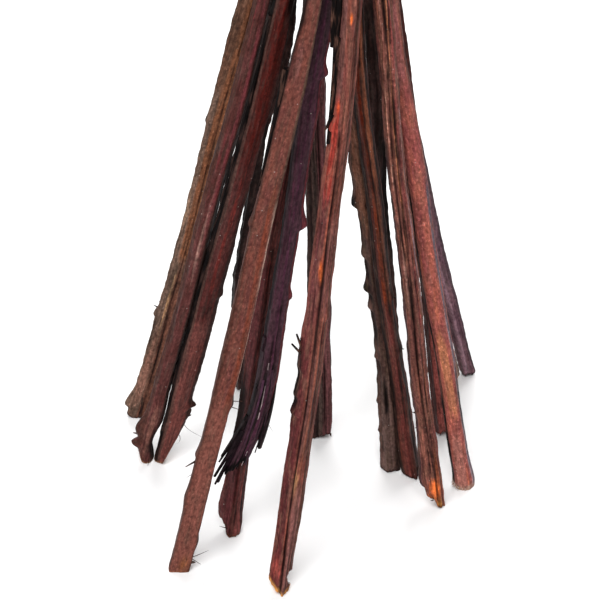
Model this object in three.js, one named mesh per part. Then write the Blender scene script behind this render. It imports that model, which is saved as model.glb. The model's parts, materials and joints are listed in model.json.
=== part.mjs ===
// A standing bundle of seventeen cut twigs, gathered in a twine binding.
//
// The twigs are pressed together in the binding and flare out below it, so that their sawn
// ends stand in a wide ring. Above the binding they run on almost side by side and spread a
// little towards their tips. One twig, whose frayed end hangs clear, stops above the surface.
//
// Frame: millimetres, +Z up, the front of the bundle towards -Y. The origin lies under the
// middle of the bundle's outline, on the surface that the sawn ends stand on.
import * as THREE from "three";

// The binding, and how the twigs sit in it.
const TIE_HEIGHT = 445; // middle of the binding above the surface
const TIE_OFFSET = [14, 2]; // the bundle leans a little as it rises
const TWIG_PITCH = 12.8; // spacing of the twigs around the middle one, pressed together
const OUTER_RING = 1.93 * TWIG_PITCH; // radius of the outer ring of twigs
const WIDEST_AT_TIE = 12; // across the thickest twig in the binding

const TWINE = 3; // twine thickness
const TWINE_TURNS = 8; // turns laid side by side
const TWINE_CLEARANCE = 0.5; // between the twigs and the inside of the binding
const BINDING_SEGMENTS = 36;

// How the twigs bend away from the binding.
const BEND_BELOW = 0.32; // share of the height below the binding that the bend takes up
const BEND_ABOVE = 0.6; // the same, above it
const CROWN_RUN = 240; // height above the binding over which the tips spread
const CROWN_SPREAD = 0.75; // how far a tip moves outwards, as a share of its seat's radius
const CURL_RUN = 70; // length of a curled end

// How one twig is made.
const SIDES = 12;
const RINGS = 22;
const FACETING = 0.72; // 0 is a round twig, 1 has flat faces and sharp corners
const TAPER_AT_TIE = 0.93; // section size in the binding against that at the foot
const TAPER_AT_TIP = 0.72;
const SWELLING = 0.035; // how much the section grows and shrinks along the twig

const WOODS = {
  smoothRind: { color: 0x8a5044, roughness: 0.75 },
  ribbedWood: { color: 0x6a3e34, roughness: 0.85 },
  redRind: { color: 0x5c2f2e, roughness: 0.7 },
  purpleRind: { color: 0x44282f, roughness: 0.6 },
  greyBark: { color: 0x4d3a33, roughness: 0.9 },
};
const TWINE_FINISH = { color: 0x9a7b50, roughness: 0.95 };

const RIDGE = { corners: 3, firstCorner: -90 }; // a ridge down the front, a flat back
const HOLLOW_BACK = { corners: 3, firstCorner: 90 }; // a flat front, a ridge behind
const BOX = { corners: 4, firstCorner: 45 }; // a flattened square
const LOZENGE = { corners: 4, firstCorner: 0 };
const ROUND = { corners: 6, firstCorner: 0 };

// One entry for each twig. foot is where its sawn end stands, seat is its ring in the binding
// (0 the middle, 1 the inner, 2 the outer) and its bearing there, size is the width and
// thickness at the foot, and facing is how far the broad face is turned from the front. bow
// and sag are how far the twig bends aside in its upper and its lower third below the
// binding, curl is the same at its end, and tip is the height of its top end. Bearings are
// in degrees from +X towards +Y.
const TWIGS = [
  { name: "twig_far_left", wood: "greyBark", shape: BOX, foot: [-101, 52], seat: [2, 159],
    size: [11, 8.6], facing: -14, bow: [-4.6, 0], sag: [1.7, 0], tip: 668 },
  { name: "twig_left", wood: "redRind", shape: ROUND, foot: [-95.4, 7], seat: [2, 191],
    size: [10.8, 9.2], facing: 0, bow: [1, 0], tip: 642 },
  { name: "twig_left_red", wood: "redRind", shape: LOZENGE, foot: [-83.2, 7], seat: [2, 224],
    size: [12.6, 9.6], facing: 0, bow: [3.4, 0], tip: 678 },
  { name: "twig_back_left", wood: "greyBark", shape: BOX, foot: [-40, 76], seat: [2, 126],
    size: [7.6, 7.4], facing: 20, bow: [9.4, 0], sag: [-14, 0], tip: 655 },
  { name: "twig_front_left", wood: "smoothRind", shape: BOX, foot: [-72.6, -93], seat: [2, 257],
    size: [11.4, 8.4], facing: 0, bow: [2, 0], sag: [2, 0], tip: 690 },
  { name: "twig_front_left_inner", wood: "ribbedWood", shape: RIDGE, foot: [-45, -62], seat: [1, 190],
    size: [12.2, 10], facing: 8, bow: [5.2, -3.4], sag: [-0.8, 0], tip: 630 },
  { name: "twig_frayed", wood: "purpleRind", shape: ROUND, foot: [-36, -72], lift: 45, seat: [1, 262],
    size: [10.6, 8.6], facing: 0, bow: [1.5, 0], sag: [-1.3, 0], curl: [-13, -2], tip: 660 },
  { name: "twig_middle", wood: "greyBark", shape: BOX, foot: [5, 32], seat: [1, 118],
    size: [12.2, 9.6], facing: 0, bow: [-7, 0], tip: 684 },
  { name: "twig_front", wood: "ribbedWood", shape: RIDGE, foot: [-17.3, -111], seat: [2, 289],
    size: [12.6, 10.4], facing: 12, bow: [3.3, 0], sag: [2.7, 0], tip: 672 },
  { name: "twig_knotty", wood: "greyBark", shape: LOZENGE, foot: [44.2, -2], seat: [0, 0],
    size: [10.4, 9], facing: -10, bow: [-6, 4], sag: [2.6, 0], tip: 648 },
  { name: "twig_right_inner", wood: "redRind", shape: RIDGE, foot: [57, -6], seat: [1, 334],
    size: [9.4, 9.2], facing: 14, bow: [-7.5, -8], sag: [-3, 0], tip: 664 },
  { name: "twig_right_ribbed", wood: "ribbedWood", shape: ROUND, foot: [69.3, -34], seat: [2, 322],
    size: [10.4, 9.4], facing: 0, bow: [-3, 0], sag: [-2, 0], tip: 652 },
  { name: "twig_right_back", wood: "redRind", shape: BOX, foot: [76, 33], seat: [2, 28],
    size: [8.8, 7.6], facing: 30, bow: [-3.4, 0], sag: [1.3, 0], tip: 636 },
  { name: "twig_right", wood: "smoothRind", shape: ROUND, foot: [84.9, -17.5], seat: [2, 355],
    size: [11.4, 10.2], facing: 0, bow: [-6.8, 0], tip: 686 },
  { name: "twig_far_right", wood: "purpleRind", shape: BOX, foot: [92.3, 92], seat: [2, 60],
    size: [7.8, 7.4], facing: 35, bow: [-2.5, 0], sag: [-3.2, 0], tip: 670 },
  { name: "twig_far_right_back", wood: "greyBark", shape: ROUND, foot: [84, 86], seat: [2, 93],
    size: [8, 7], facing: 0, bow: [-1.5, -1.5], sag: [-1.5, -1.5], tip: 626 },
  { name: "twig_back", wood: "greyBark", shape: HOLLOW_BACK, foot: [47, 30], seat: [1, 46],
    size: [10.2, 8.8], facing: 25, bow: [1.5, 0], tip: 658 },
];

const radians = THREE.MathUtils.degToRad;
const lerp = THREE.MathUtils.lerp;

// How far a twig has left its seat, from 0 in the binding to 1 a full run away from it. It
// leaves the binding upright, and is straight beyond the bend.
function leaving(run, bend) {
  const distance = run < bend ? (run * run) / (2 * bend) : run - bend / 2;
  return distance / (1 - bend / 2);
}

// Where a twig sits in the binding.
function seatOf([ring, bearing]) {
  const radius = [0, TWIG_PITCH, OUTER_RING][ring];
  return new THREE.Vector2(
    TIE_OFFSET[0] + radius * Math.cos(radians(bearing)),
    TIE_OFFSET[1] + radius * Math.sin(radians(bearing)),
  );
}

// The middle of a twig at a height above the surface.
function middleAt(twig, height) {
  const seat = seatOf(twig.seat);
  if (height > TIE_HEIGHT) {
    const tie = new THREE.Vector2(...TIE_OFFSET);
    const spread = leaving((height - TIE_HEIGHT) / CROWN_RUN, BEND_ABOVE) * CROWN_SPREAD;
    return seat.clone().sub(tie).multiplyScalar(1 + spread).add(tie);
  }
  const run = (TIE_HEIGHT - height) / TIE_HEIGHT;
  const middle = seat.clone().lerp(new THREE.Vector2(...twig.foot), leaving(run, BEND_BELOW));
  const rest = 1 - run;
  middle.addScaledVector(new THREE.Vector2(...twig.bow), 6.75 * run * rest * rest);
  middle.addScaledVector(new THREE.Vector2(...(twig.sag ?? [0, 0])), 6.75 * run * run * rest);
  if (twig.curl) {
    const curling = Math.max(0, 1 - (height - twig.lift) / CURL_RUN);
    middle.addScaledVector(new THREE.Vector2(...twig.curl), curling * curling);
  }
  return middle;
}

// The size of a twig's section at a height, against that at its foot.
function sizeAt(twig, height, index) {
  const taper =
    height < TIE_HEIGHT
      ? lerp(1, TAPER_AT_TIE, height / TIE_HEIGHT)
      : lerp(TAPER_AT_TIE, TAPER_AT_TIP, (height - TIE_HEIGHT) / (twig.tip - TIE_HEIGHT));
  const swelling = 0.6 * Math.sin(height / 41 + 2.1 * index) + 0.4 * Math.sin(height / 17 + index);
  return taper * (1 + SWELLING * swelling);
}

// A twig's section, as points that just fill a box of width 2 and height 2.
function sectionOf({ corners, firstCorner }) {
  const sector = (2 * Math.PI) / corners;
  const points = [];
  for (let side = 0; side < SIDES; side++) {
    const angle = (side * 2 * Math.PI) / SIDES;
    const fromCorner = (angle % sector) - sector / 2;
    const flat = Math.cos(sector / 2) / Math.cos(fromCorner);
    const radius = lerp(1, flat, FACETING);
    const bearing = angle + radians(firstCorner);
    points.push(new THREE.Vector2(radius * Math.cos(bearing), radius * Math.sin(bearing)));
  }
  const box = new THREE.Box2().setFromPoints(points);
  const middle = box.getCenter(new THREE.Vector2());
  const half = box.getSize(new THREE.Vector2()).divideScalar(2);
  return points.map((point) => point.sub(middle).divide(half));
}

// A straight cylinder, bent and shaped into a twig.
function twigGeometry(twig, index) {
  const geometry = new THREE.CylinderGeometry(1, 1, 1, SIDES, RINGS).rotateX(Math.PI / 2);
  const section = sectionOf(twig.shape);
  const foot = twig.lift ?? 0;
  const position = geometry.getAttribute("position");
  const vertex = new THREE.Vector3();
  for (let i = 0; i < position.count; i++) {
    vertex.fromBufferAttribute(position, i);
    const height = lerp(foot, twig.tip, vertex.z + 0.5);
    const side = Math.round((Math.atan2(vertex.y, vertex.x) * SIDES) / (2 * Math.PI) + SIDES);
    const reach = Math.hypot(vertex.x, vertex.y) * sizeAt(twig, height, index);
    const edge = section[side % SIDES]
      .clone()
      .multiply(new THREE.Vector2(twig.size[0] / 2, twig.size[1] / 2))
      .multiplyScalar(reach)
      .rotateAround(new THREE.Vector2(), radians(twig.facing))
      .add(middleAt(twig, height));
    position.setXYZ(i, edge.x, edge.y, height);
  }
  geometry.computeVertexNormals();
  return geometry;
}

// The binding: the outer shape of turns of twine laid side by side round the twigs.
function bindingGeometry() {
  const inside = OUTER_RING + WIDEST_AT_TIE / 2 + TWINE_CLEARANCE;
  const half = (TWINE_TURNS * TWINE) / 2;
  const round = TWINE / 2;
  const profile = [
    new THREE.Vector2(inside, -half + round),
    new THREE.Vector2(inside + round, -half),
    new THREE.Vector2(inside + TWINE, -half + round),
    new THREE.Vector2(inside + TWINE, half - round),
    new THREE.Vector2(inside + round, half),
    new THREE.Vector2(inside, half - round),
    new THREE.Vector2(inside, -half + round),
  ];
  return new THREE.LatheGeometry(profile, BINDING_SEGMENTS).rotateX(Math.PI / 2);
}

const bundle = new THREE.Group();

TWIGS.forEach((twig, index) => {
  const wood = new THREE.MeshStandardMaterial({ ...WOODS[twig.wood], metalness: 0 });
  const mesh = new THREE.Mesh(twigGeometry(twig, index), wood);
  mesh.name = twig.name;
  bundle.add(mesh);
});

const binding = new THREE.Mesh(
  bindingGeometry(),
  new THREE.MeshStandardMaterial({ ...TWINE_FINISH, metalness: 0 }),
);
binding.name = "twine_binding";
binding.position.set(...TIE_OFFSET, TIE_HEIGHT);
bundle.add(binding);

// The origin goes under the middle of the bundle's outline.
const outline = new THREE.Box3().setFromObject(bundle).getCenter(new THREE.Vector3());
bundle.position.set(-outline.x, -outline.y, 0);

export default bundle;
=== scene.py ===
"""A bundle of cut twigs, tied with twine and standing on its sawn ends.

Each twig is modelled as a straight stick, from one master stick: its section follows the
part's own twig, bark is raised on it, knots, grooves and the broken end are carved, bands
and patches of colour are painted, and splinters and hairs are set on it. Only then is it
bent along the part's twig. The twine is wound and knotted over the part's binding.

Units are metres. The front of the bundle faces -Y. A bearing is in degrees from +X
towards +Y, so -90 is the front, 180 the left and 0 the right.
"""

import json
import logging
import math
from dataclasses import dataclass, field
from enum import Enum

import bpy
import numpy as np
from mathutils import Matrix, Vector

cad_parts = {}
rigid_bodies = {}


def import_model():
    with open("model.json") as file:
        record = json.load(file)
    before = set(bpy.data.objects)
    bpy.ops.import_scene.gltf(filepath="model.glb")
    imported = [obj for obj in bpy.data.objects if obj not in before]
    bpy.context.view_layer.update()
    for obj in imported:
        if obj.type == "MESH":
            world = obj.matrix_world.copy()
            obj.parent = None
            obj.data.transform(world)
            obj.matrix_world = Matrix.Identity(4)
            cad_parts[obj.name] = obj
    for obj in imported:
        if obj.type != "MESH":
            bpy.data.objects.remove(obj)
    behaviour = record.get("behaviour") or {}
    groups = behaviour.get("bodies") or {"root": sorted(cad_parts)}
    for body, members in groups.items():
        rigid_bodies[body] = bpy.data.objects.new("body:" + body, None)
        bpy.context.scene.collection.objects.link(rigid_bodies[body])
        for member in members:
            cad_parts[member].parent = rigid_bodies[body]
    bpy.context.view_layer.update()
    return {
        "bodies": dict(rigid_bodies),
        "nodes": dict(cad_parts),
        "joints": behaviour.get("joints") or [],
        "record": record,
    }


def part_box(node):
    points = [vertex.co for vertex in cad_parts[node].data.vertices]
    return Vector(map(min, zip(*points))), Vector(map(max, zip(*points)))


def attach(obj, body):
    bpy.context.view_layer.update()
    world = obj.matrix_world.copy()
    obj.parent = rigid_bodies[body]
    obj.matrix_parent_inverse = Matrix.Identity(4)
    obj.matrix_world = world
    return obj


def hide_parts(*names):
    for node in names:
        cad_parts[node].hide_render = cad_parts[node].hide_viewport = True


LOG = logging.getLogger("twigs")
MM = 0.001

STICK_SIDES = 48
STICK_ROWS = 512
FINE_ROWS = 0.66  # share of the rows that the lower part of a twig takes
FINE_SHARE = 0.47  # share of a twig's length that they cover
CAP_RINGS = (0.16, 0.2, 0.22, 0.2)  # insets of a cut end, as shares of its radius
SLIVER_SIDES = 6
SLIVER_ROWS = 10
CELL_PRIMES = (73856093, 19349663, 83492791)  # these three lines scramble the noise
SEED_PRIME = 2654435761
SCRAMBLE = ((15, 2246822519), (13, 3266489917))
CRISP_ANGLE = 55.0  # edges sharper than this stay crisp, in degrees
CORNER_REACH = 0.4  # share of a ring's reach within which a point is no corner
GROOVE_FADE = 8 * MM  # length over which a groove runs out
BAND_FADE = 15 * MM  # length over which a band runs out
HELD_FOOT = 60 * MM  # length above the foot over which the wander sets in
BITE_TILT = -34.0  # how far a bite's tooth is tipped forward, in degrees

Colour = tuple[float, float, float, float]


# --- Shared helpers ------------------------------------------------------------------


def to_linear(code: str) -> Colour:
    """Turns an sRGB hex value into a linear colour.

    Args:
        code: Six hex digits after a hash, such as "#7a4438".

    Returns:
        Linear red, green and blue, and an alpha of 1.
    """
    channels = [int(code[i : i + 2], 16) / 255 for i in (1, 3, 5)]
    linear = [c / 12.92 if c <= 0.04045 else ((c + 0.055) / 1.055) ** 2.4 for c in channels]
    return (linear[0], linear[1], linear[2], 1.0)


def add_node(
    tree: bpy.types.NodeTree,
    kind: str,
    settings: dict[str, object] | None = None,
    inputs: dict[str | int, object] | None = None,
) -> bpy.types.Node:
    """Adds a shader node with its settings and links.

    Args:
        tree: The material's node tree.
        kind: The node's type without its ShaderNode prefix.
        settings: Values for the node's own properties.
        inputs: A constant or an output socket for each input named or numbered.

    Returns:
        The new node.
    """
    node = tree.nodes.new("ShaderNode" + kind)
    for name, value in (settings or {}).items():
        setattr(node, name, value)
    for socket, value in (inputs or {}).items():
        if isinstance(value, bpy.types.NodeSocket):
            tree.links.new(value, node.inputs[socket])
        else:
            node.inputs[socket].default_value = value
    return node


def blank_material(name: str) -> bpy.types.Material:
    """Makes a material without any nodes.

    Args:
        name: The material's name.

    Returns:
        The material.
    """
    material = bpy.data.materials.new(name)
    material.use_nodes = True
    material.node_tree.nodes.clear()
    return material


def select_only(obj: bpy.types.Object) -> None:
    """Deselects everything and makes one object selected and active.

    Args:
        obj: The object to select.
    """
    bpy.ops.object.select_all(action="DESELECT")
    obj.select_set(True)
    bpy.context.view_layer.objects.active = obj


def coordinates(mesh: bpy.types.Mesh) -> np.ndarray:
    """Reads a mesh's vertices.

    Args:
        mesh: The mesh to read.

    Returns:
        Its points, one row each.
    """
    points = np.empty(len(mesh.vertices) * 3, np.float32)
    mesh.vertices.foreach_get("co", points)
    return points.reshape(-1, 3).astype(float)


def set_coordinates(mesh: bpy.types.Mesh, points: np.ndarray) -> None:
    """Moves a mesh's vertices to the given points."""
    mesh.vertices.foreach_set("co", points.astype(np.float32).ravel())
    mesh.update()


def store(mesh: bpy.types.Mesh, name: str, kind: str, key: str, values: np.ndarray) -> None:
    """Writes an attribute of the vertices.

    Args:
        mesh: The mesh that takes the attribute.
        name: The attribute's name, as the materials read it.
        kind: Its data type, such as FLOAT_VECTOR.
        key: The value's name in each element, such as vector.
        values: One row for each vertex.
    """
    attribute = mesh.attributes.get(name) or mesh.attributes.new(name, kind, "POINT")
    attribute.data.foreach_set(key, values.astype(np.float32).ravel())


def add_rows(obj: bpy.types.Object, rows: int) -> None:
    """Divides the sides of a standing cylinder or cone into level rows.

    Args:
        obj: The primitive, one unit high and active.
        rows: How many rows its sides get.
    """
    points = coordinates(obj.data)
    for edge in obj.data.edges:
        low, high = edge.vertices
        edge.select = abs(points[low, 2] - points[high, 2]) > 0.5
    for element in (*obj.data.vertices, *obj.data.polygons):
        element.select = False
    bpy.context.tool_settings.mesh_select_mode = (False, True, False)
    bpy.ops.object.mode_set(mode="EDIT")
    bpy.ops.mesh.subdivide_edgering(number_cuts=rows - 1, interpolation="LINEAR")
    bpy.ops.object.mode_set(mode="OBJECT")


def turn_between(bearings: np.ndarray, bearing: float) -> np.ndarray:
    """How far bearings are from one bearing, in degrees, from -180 to 180."""
    return (bearings - bearing + 180.0) % 360.0 - 180.0


def fade_in_out(heights: np.ndarray, span: tuple[float, float], run: float) -> np.ndarray:
    """Fades a feature in at the lower end of its stretch and out at the upper end.

    Args:
        heights: The heights that are asked for.
        span: The stretch's lower and upper end.
        run: The length of each fade.

    Returns:
        A share from 0 to 1 for each height.
    """
    low, high = span
    return np.clip((heights - low) / run, 0, 1) * np.clip((high - heights) / run, 0, 1)


def smooth_noise(points: np.ndarray, seed: int) -> np.ndarray:
    """Smooth three-dimensional noise with features one unit across.

    Args:
        points: Points, one row each, already divided by the size of the features.
        seed: A whole number that picks the pattern.

    Returns:
        A value from -1 to 1 for each point.
    """
    corner = np.floor(points).astype(np.int64)
    inside = points - corner
    weight = inside * inside * (3 - 2 * inside)
    total = np.zeros(len(points))
    for dx in (0, 1):
        for dy in (0, 1):
            for dz in (0, 1):
                cell = corner + (dx, dy, dz)
                mixed = np.bitwise_xor.reduce(cell * CELL_PRIMES, axis=1)
                mixed = (mixed ^ (seed * SEED_PRIME)) & 0xFFFFFFFF
                for shift, factor in SCRAMBLE:
                    mixed = ((mixed ^ (mixed >> shift)) * factor) & 0xFFFFFFFF
                value = ((mixed ^ (mixed >> 16)) & 0xFFFF) / 32767.5 - 1
                share = np.abs(1 - dx - weight[:, 0]) * np.abs(1 - dy - weight[:, 1])
                total += value * share * np.abs(1 - dz - weight[:, 2])
    return total


# --- Finishes ------------------------------------------------------------------------

SPECK = "#b5a7a0"
# Near-black painted shade for the hollows of the bark.
HOLLOW_SHADE = "#0f0807"


@dataclass(frozen=True)
class Rind:
    """The skin of a dry twig: a thin rind over lengthwise fibres.

    Dry rind has a dull sheen. Its fibres give it lengthwise streaks, some of them of a
    livelier colour, and dust and scurf leave pale flecks on it. Its hollows are darkened
    with painted shade.
    """

    name: str
    base: str
    blotch: str
    streak: str = "#7a3a2a"
    streak_share: float = 0.25  # how much of the rind the lively streaks take
    dark_streaks: float = 0.6
    cast: str = "#5a4a3e"  # the duller hue that drifts over the rind
    lines: float = 0.4  # how far the pale fibres stand out
    flecks: float = 0.2
    roughness: float = 0.6
    bump: float = 0.4 * MM

    def material(self) -> bpy.types.Material:
        """Makes the rind's material.

        Returns:
            The material, with its nodes.
        """
        material = blank_material(self.name)
        tree = material.node_tree
        grain = add_node(tree, "Attribute", {"attribute_name": "grain"}).outputs["Vector"]
        paint = add_node(tree, "Attribute", {"attribute_name": "paint"})
        hollow = add_node(tree, "Attribute", {"attribute_name": "hollow"}).outputs["Fac"]

        dark_lines = self.pattern(tree, grain, (1.5 * MM, 40 * MM), 3.0)
        lively_lines = self.pattern(tree, grain, (2.6 * MM, 55 * MM), 2.0, 0.37)
        fibres = self.pattern(tree, grain, (0.55 * MM, 9 * MM), 2.0)
        blotches = self.pattern(tree, grain, (5 * MM, 16 * MM), 3.0)
        scurf = self.pattern(tree, grain, (0.9 * MM, 1.4 * MM), 3.0)
        drift = self.pattern(tree, grain, (2.2 * MM, 12 * MM), 3.0, 0.71)
        mottle = self.pattern(tree, grain, (1.5 * MM, 2.3 * MM), 4.0, 0.53)

        patchy = self.between(tree, blotches, 0.38, 0.62, 0.0, 1.0)
        colour = self.mix(tree, patchy, to_linear(self.base), to_linear(self.blotch))
        start = 0.7 - 0.35 * self.streak_share
        lively = self.between(tree, lively_lines, start, start + 0.12, 0.0, 0.85)
        colour = self.mix(tree, lively, colour, to_linear(self.streak))
        ragged = self.blend(tree, lively_lines, 0.5, fibres, 0.7)
        edge = add_node(
            tree, "Math", {"operation": "ADD"}, {0: paint.outputs["Alpha"], 1: ragged}
        ).outputs[0]
        painted = self.between(tree, edge, 0.8, 1.3, 0.0, 1.0)
        colour = self.mix(tree, painted, colour, paint.outputs["Color"])

        dull = self.between(tree, drift, 0.48, 0.66, 0.0, 0.55)
        colour = self.mix(tree, dull, colour, to_linear(self.cast))
        dark = self.between(tree, dark_lines, 0.53, 0.36, 0.0, self.dark_streaks)
        colour = self.mix(tree, dark, colour, self.scaled(tree, colour, 0.3))
        lit = self.between(tree, fibres, 0.5, 0.7, 0.0, self.lines)
        colour = self.mix(tree, lit, colour, self.scaled(tree, colour, 1.9))
        shade = self.between(tree, mottle, 0.3, 0.7, 0.62, 1.42)
        colour = self.scaled(tree, colour, shade)
        fleck = self.between(tree, scurf, 0.56, 0.7, 0.0, self.flecks)
        colour = self.mix(tree, fleck, colour, self.scaled(tree, colour, 3.0))
        colour = self.mix(tree, self.specks(tree, grain), colour, to_linear(SPECK))
        # Painted shade: the deeper a hollow of the bark, the nearer its colour is drawn to
        # near-black.
        hollow_shade = self.between(tree, hollow, 0.0, 1.0, 0.0, 0.92)
        colour = self.mix(tree, hollow_shade, colour, to_linear(HOLLOW_SHADE))

        height = self.blend(tree, fibres, 0.4, dark_lines, 1.0)
        height = self.blend(tree, scurf, 0.3, height, 1.0)
        bump = add_node(
            tree, "Bump", None, {"Strength": 1.0, "Distance": self.bump, "Height": height}
        )
        worn = self.between(tree, blotches, 0.3, 0.7, self.roughness - 0.1, self.roughness + 0.15)
        shader = add_node(
            tree,
            "BsdfPrincipled",
            None,
            {
                "Base Color": colour,
                "Roughness": worn,
                "Normal": bump.outputs["Normal"],
                "IOR": 1.45,
                "Specular IOR Level": 0.08,
            },
        )
        add_node(tree, "OutputMaterial", None, {"Surface": shader.outputs["BSDF"]})
        return material

    @staticmethod
    def pattern(
        tree: bpy.types.NodeTree,
        grain: bpy.types.NodeSocket,
        size: tuple[float, float],
        detail: float,
        shift: float = 0.0,
    ) -> bpy.types.NodeSocket:
        """Adds noise that is drawn out along the twig.

        Args:
            tree: The material's node tree.
            grain: The point on the straight stick.
            size: The width and the length of one feature.
            detail: How many finer layers the noise has.
            shift: Moves the pattern, so that two of a kind differ.

        Returns:
            The noise, about 0.5 on average.
        """
        across, along = 1 / size[0], 1 / size[1]
        place = add_node(
            tree,
            "Mapping",
            None,
            {"Vector": grain, "Scale": (across, across, along), "Location": (shift, 0.0, shift)},
        ).outputs["Vector"]
        noise = add_node(
            tree, "TexNoise", None, {"Vector": place, "Scale": 1.0, "Detail": detail}
        )
        return noise.outputs["Fac"]

    @staticmethod
    def specks(tree: bpy.types.NodeTree, grain: bpy.types.NodeSocket) -> bpy.types.NodeSocket:
        """Adds a few pale specks, 0.8 mm across and about 7 mm apart.

        Args:
            tree: The material's node tree.
            grain: The point on the straight stick.

        Returns:
            The share of pale colour.
        """
        place = add_node(
            tree, "Mapping", None, {"Vector": grain, "Scale": (143.0, 143.0, 143.0)}
        ).outputs["Vector"]
        cells = add_node(tree, "TexVoronoi", None, {"Vector": place, "Scale": 1.0})
        return Rind.between(tree, cells.outputs["Distance"], 0.058, 0.04, 0.0, 0.45)

    @staticmethod
    def blend(
        tree: bpy.types.NodeTree,
        first: bpy.types.NodeSocket,
        factor: float,
        second: bpy.types.NodeSocket,
        other_factor: float,
    ) -> bpy.types.NodeSocket:
        """Adds two values up, each with a factor.

        Args:
            tree: The material's node tree.
            first: The first value.
            factor: Its factor.
            second: The second value.
            other_factor: Its factor.

        Returns:
            The sum.
        """
        part = add_node(
            tree, "Math", {"operation": "MULTIPLY"}, {0: second, 1: other_factor}
        ).outputs[0]
        node = add_node(
            tree, "Math", {"operation": "MULTIPLY_ADD"}, {0: first, 1: factor, 2: part}
        )
        return node.outputs[0]

    @staticmethod
    def between(
        tree: bpy.types.NodeTree,
        value: bpy.types.NodeSocket,
        start: float,
        end: float,
        low: float,
        high: float,
    ) -> bpy.types.NodeSocket:
        """Maps a value from start..end to low..high, clamped.

        Args:
            tree: The material's node tree.
            value: The value to map.
            start: The value that gives low.
            end: The value that gives high.
            low: The result at the start.
            high: The result at the end.

        Returns:
            The mapped value.
        """
        node = add_node(
            tree,
            "MapRange",
            {"clamp": True},
            {"Value": value, "From Min": start, "From Max": end, "To Min": low, "To Max": high},
        )
        return node.outputs["Result"]

    @staticmethod
    def mix(
        tree: bpy.types.NodeTree,
        share: bpy.types.NodeSocket | float,
        first: bpy.types.NodeSocket | Colour,
        second: bpy.types.NodeSocket | Colour,
    ) -> bpy.types.NodeSocket:
        """Mixes two colours.

        Args:
            tree: The material's node tree.
            share: How much of the second colour is taken.
            first: The first colour.
            second: The second colour.

        Returns:
            The mixed colour.
        """
        node = add_node(tree, "Mix", {"data_type": "RGBA"}, {0: share, 6: first, 7: second})
        return node.outputs[2]

    @staticmethod
    def scaled(
        tree: bpy.types.NodeTree,
        colour: bpy.types.NodeSocket,
        factor: bpy.types.NodeSocket | float,
    ) -> bpy.types.NodeSocket:
        """Makes a colour darker or lighter.

        Args:
            tree: The material's node tree.
            colour: The colour to change.
            factor: Below 1 darkens it, above 1 lightens it.

        Returns:
            The changed colour.
        """
        node = add_node(
            tree, "VectorMath", {"operation": "SCALE"}, {0: colour, "Scale": factor}
        )
        return node.outputs[0]


# What the twigs wear, and the colours that are painted on them.
GREY_BARK = Rind(
    "weathered_grey_bark",
    "#755b4e",
    "#5a473d",
    streak="#886b57",
    cast="#503e32",
    lines=0.5,
    flecks=0.35,
    roughness=0.75,
)
MAUVE_RIND = Rind(
    "mauve_brown_rind",
    "#5a312f",
    "#4b2724",
    streak="#682c2e",
    cast="#47342e",
    dark_streaks=0.4,
)
DEEP_RED_RIND = Rind(
    "deep_red_rind",
    "#4a201d",
    "#3a1917",
    streak="#5d251f",
    cast="#3f2c27",
    dark_streaks=0.45,
)
DARK_BARK = Rind(
    "dark_brown_bark",
    "#3d2825",
    "#2a1a18",
    streak="#55332e",
    cast="#3a2f2a",
    dark_streaks=0.7,
    flecks=0.1,
)
ORANGE_BROWN_RIND = Rind(
    "smooth_orange_brown_rind",
    "#673930",
    "#5c332e",
    streak="#6f3b2f",
    cast="#5a3e34",
    dark_streaks=0.25,
    lines=0.25,
    flecks=0.3,
    bump=0.2 * MM,
)
RED_BROWN_WOOD = Rind(
    "ribbed_red_brown_wood",
    "#5a2b29",
    "#47201e",
    streak="#6b2823",
    cast="#4d322c",
    dark_streaks=0.6,
)
PURPLE_RIND = Rind(
    "dark_purple_rind",
    "#462b35",
    "#372028",
    streak="#522537",
    cast="#3c2d30",
    dark_streaks=0.45,
    flecks=0.12,
    roughness=0.5,
)
SPLIT_WOOD = Rind(
    "brown_split_wood",
    "#7c453a",
    "#663732",
    streak="#98503d",
    cast="#6a493d",
    dark_streaks=0.6,
    lines=0.6,
)
KNOTTY_BARK = Rind(
    "knotty_grey_brown_bark",
    "#5b413a",
    "#48332e",
    streak="#684237",
    cast="#4f3f32",
    dark_streaks=0.5,
)
RUSSET_WOOD = Rind(
    "russet_wood",
    "#552a22",
    "#44211d",
    streak="#692e22",
    cast="#4a3228",
    dark_streaks=0.5,
)
RIBBED_BARK = Rind(
    "ribbed_scaly_bark",
    "#78473d",
    "#5f3832",
    streak="#985d4a",
    streak_share=0.4,
    cast="#674a3b",
    dark_streaks=0.75,
    lines=0.7,
    flecks=0.4,
    bump=0.6 * MM,
)
ORANGE_RIND = Rind(
    "smooth_orange_rind",
    "#9a5446",
    "#884744",
    streak="#a85c44",
    streak_share=0.4,
    cast="#7c4e43",
    dark_streaks=0.25,
    lines=0.3,
    flecks=0.4,
    bump=0.2 * MM,
)
PLUM_RIND = Rind(
    "plum_rind",
    "#735057",
    "#5f424d",
    streak="#784e55",
    cast="#5a4849",
    dark_streaks=0.4,
    flecks=0.12,
)
PALE_BARK = Rind(
    "pale_grey_brown_bark", "#8b7266", "#756056", streak="#9a8273", cast="#746456"
)

CUT_WOOD = "#8a6246"
# BLACK colours black scars and ends, and the painted shade in the dark gaps between twigs.
BLACK = "#080404"
DARK = "#2a1a18"
# Bright gold for the rim of a sawn end: pale wood, partly a painted highlight of light thrown up
# from below.
GOLD = "#d09050"
FIBRE = "#a98a6a"
PALE = "#b9a296"


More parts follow.
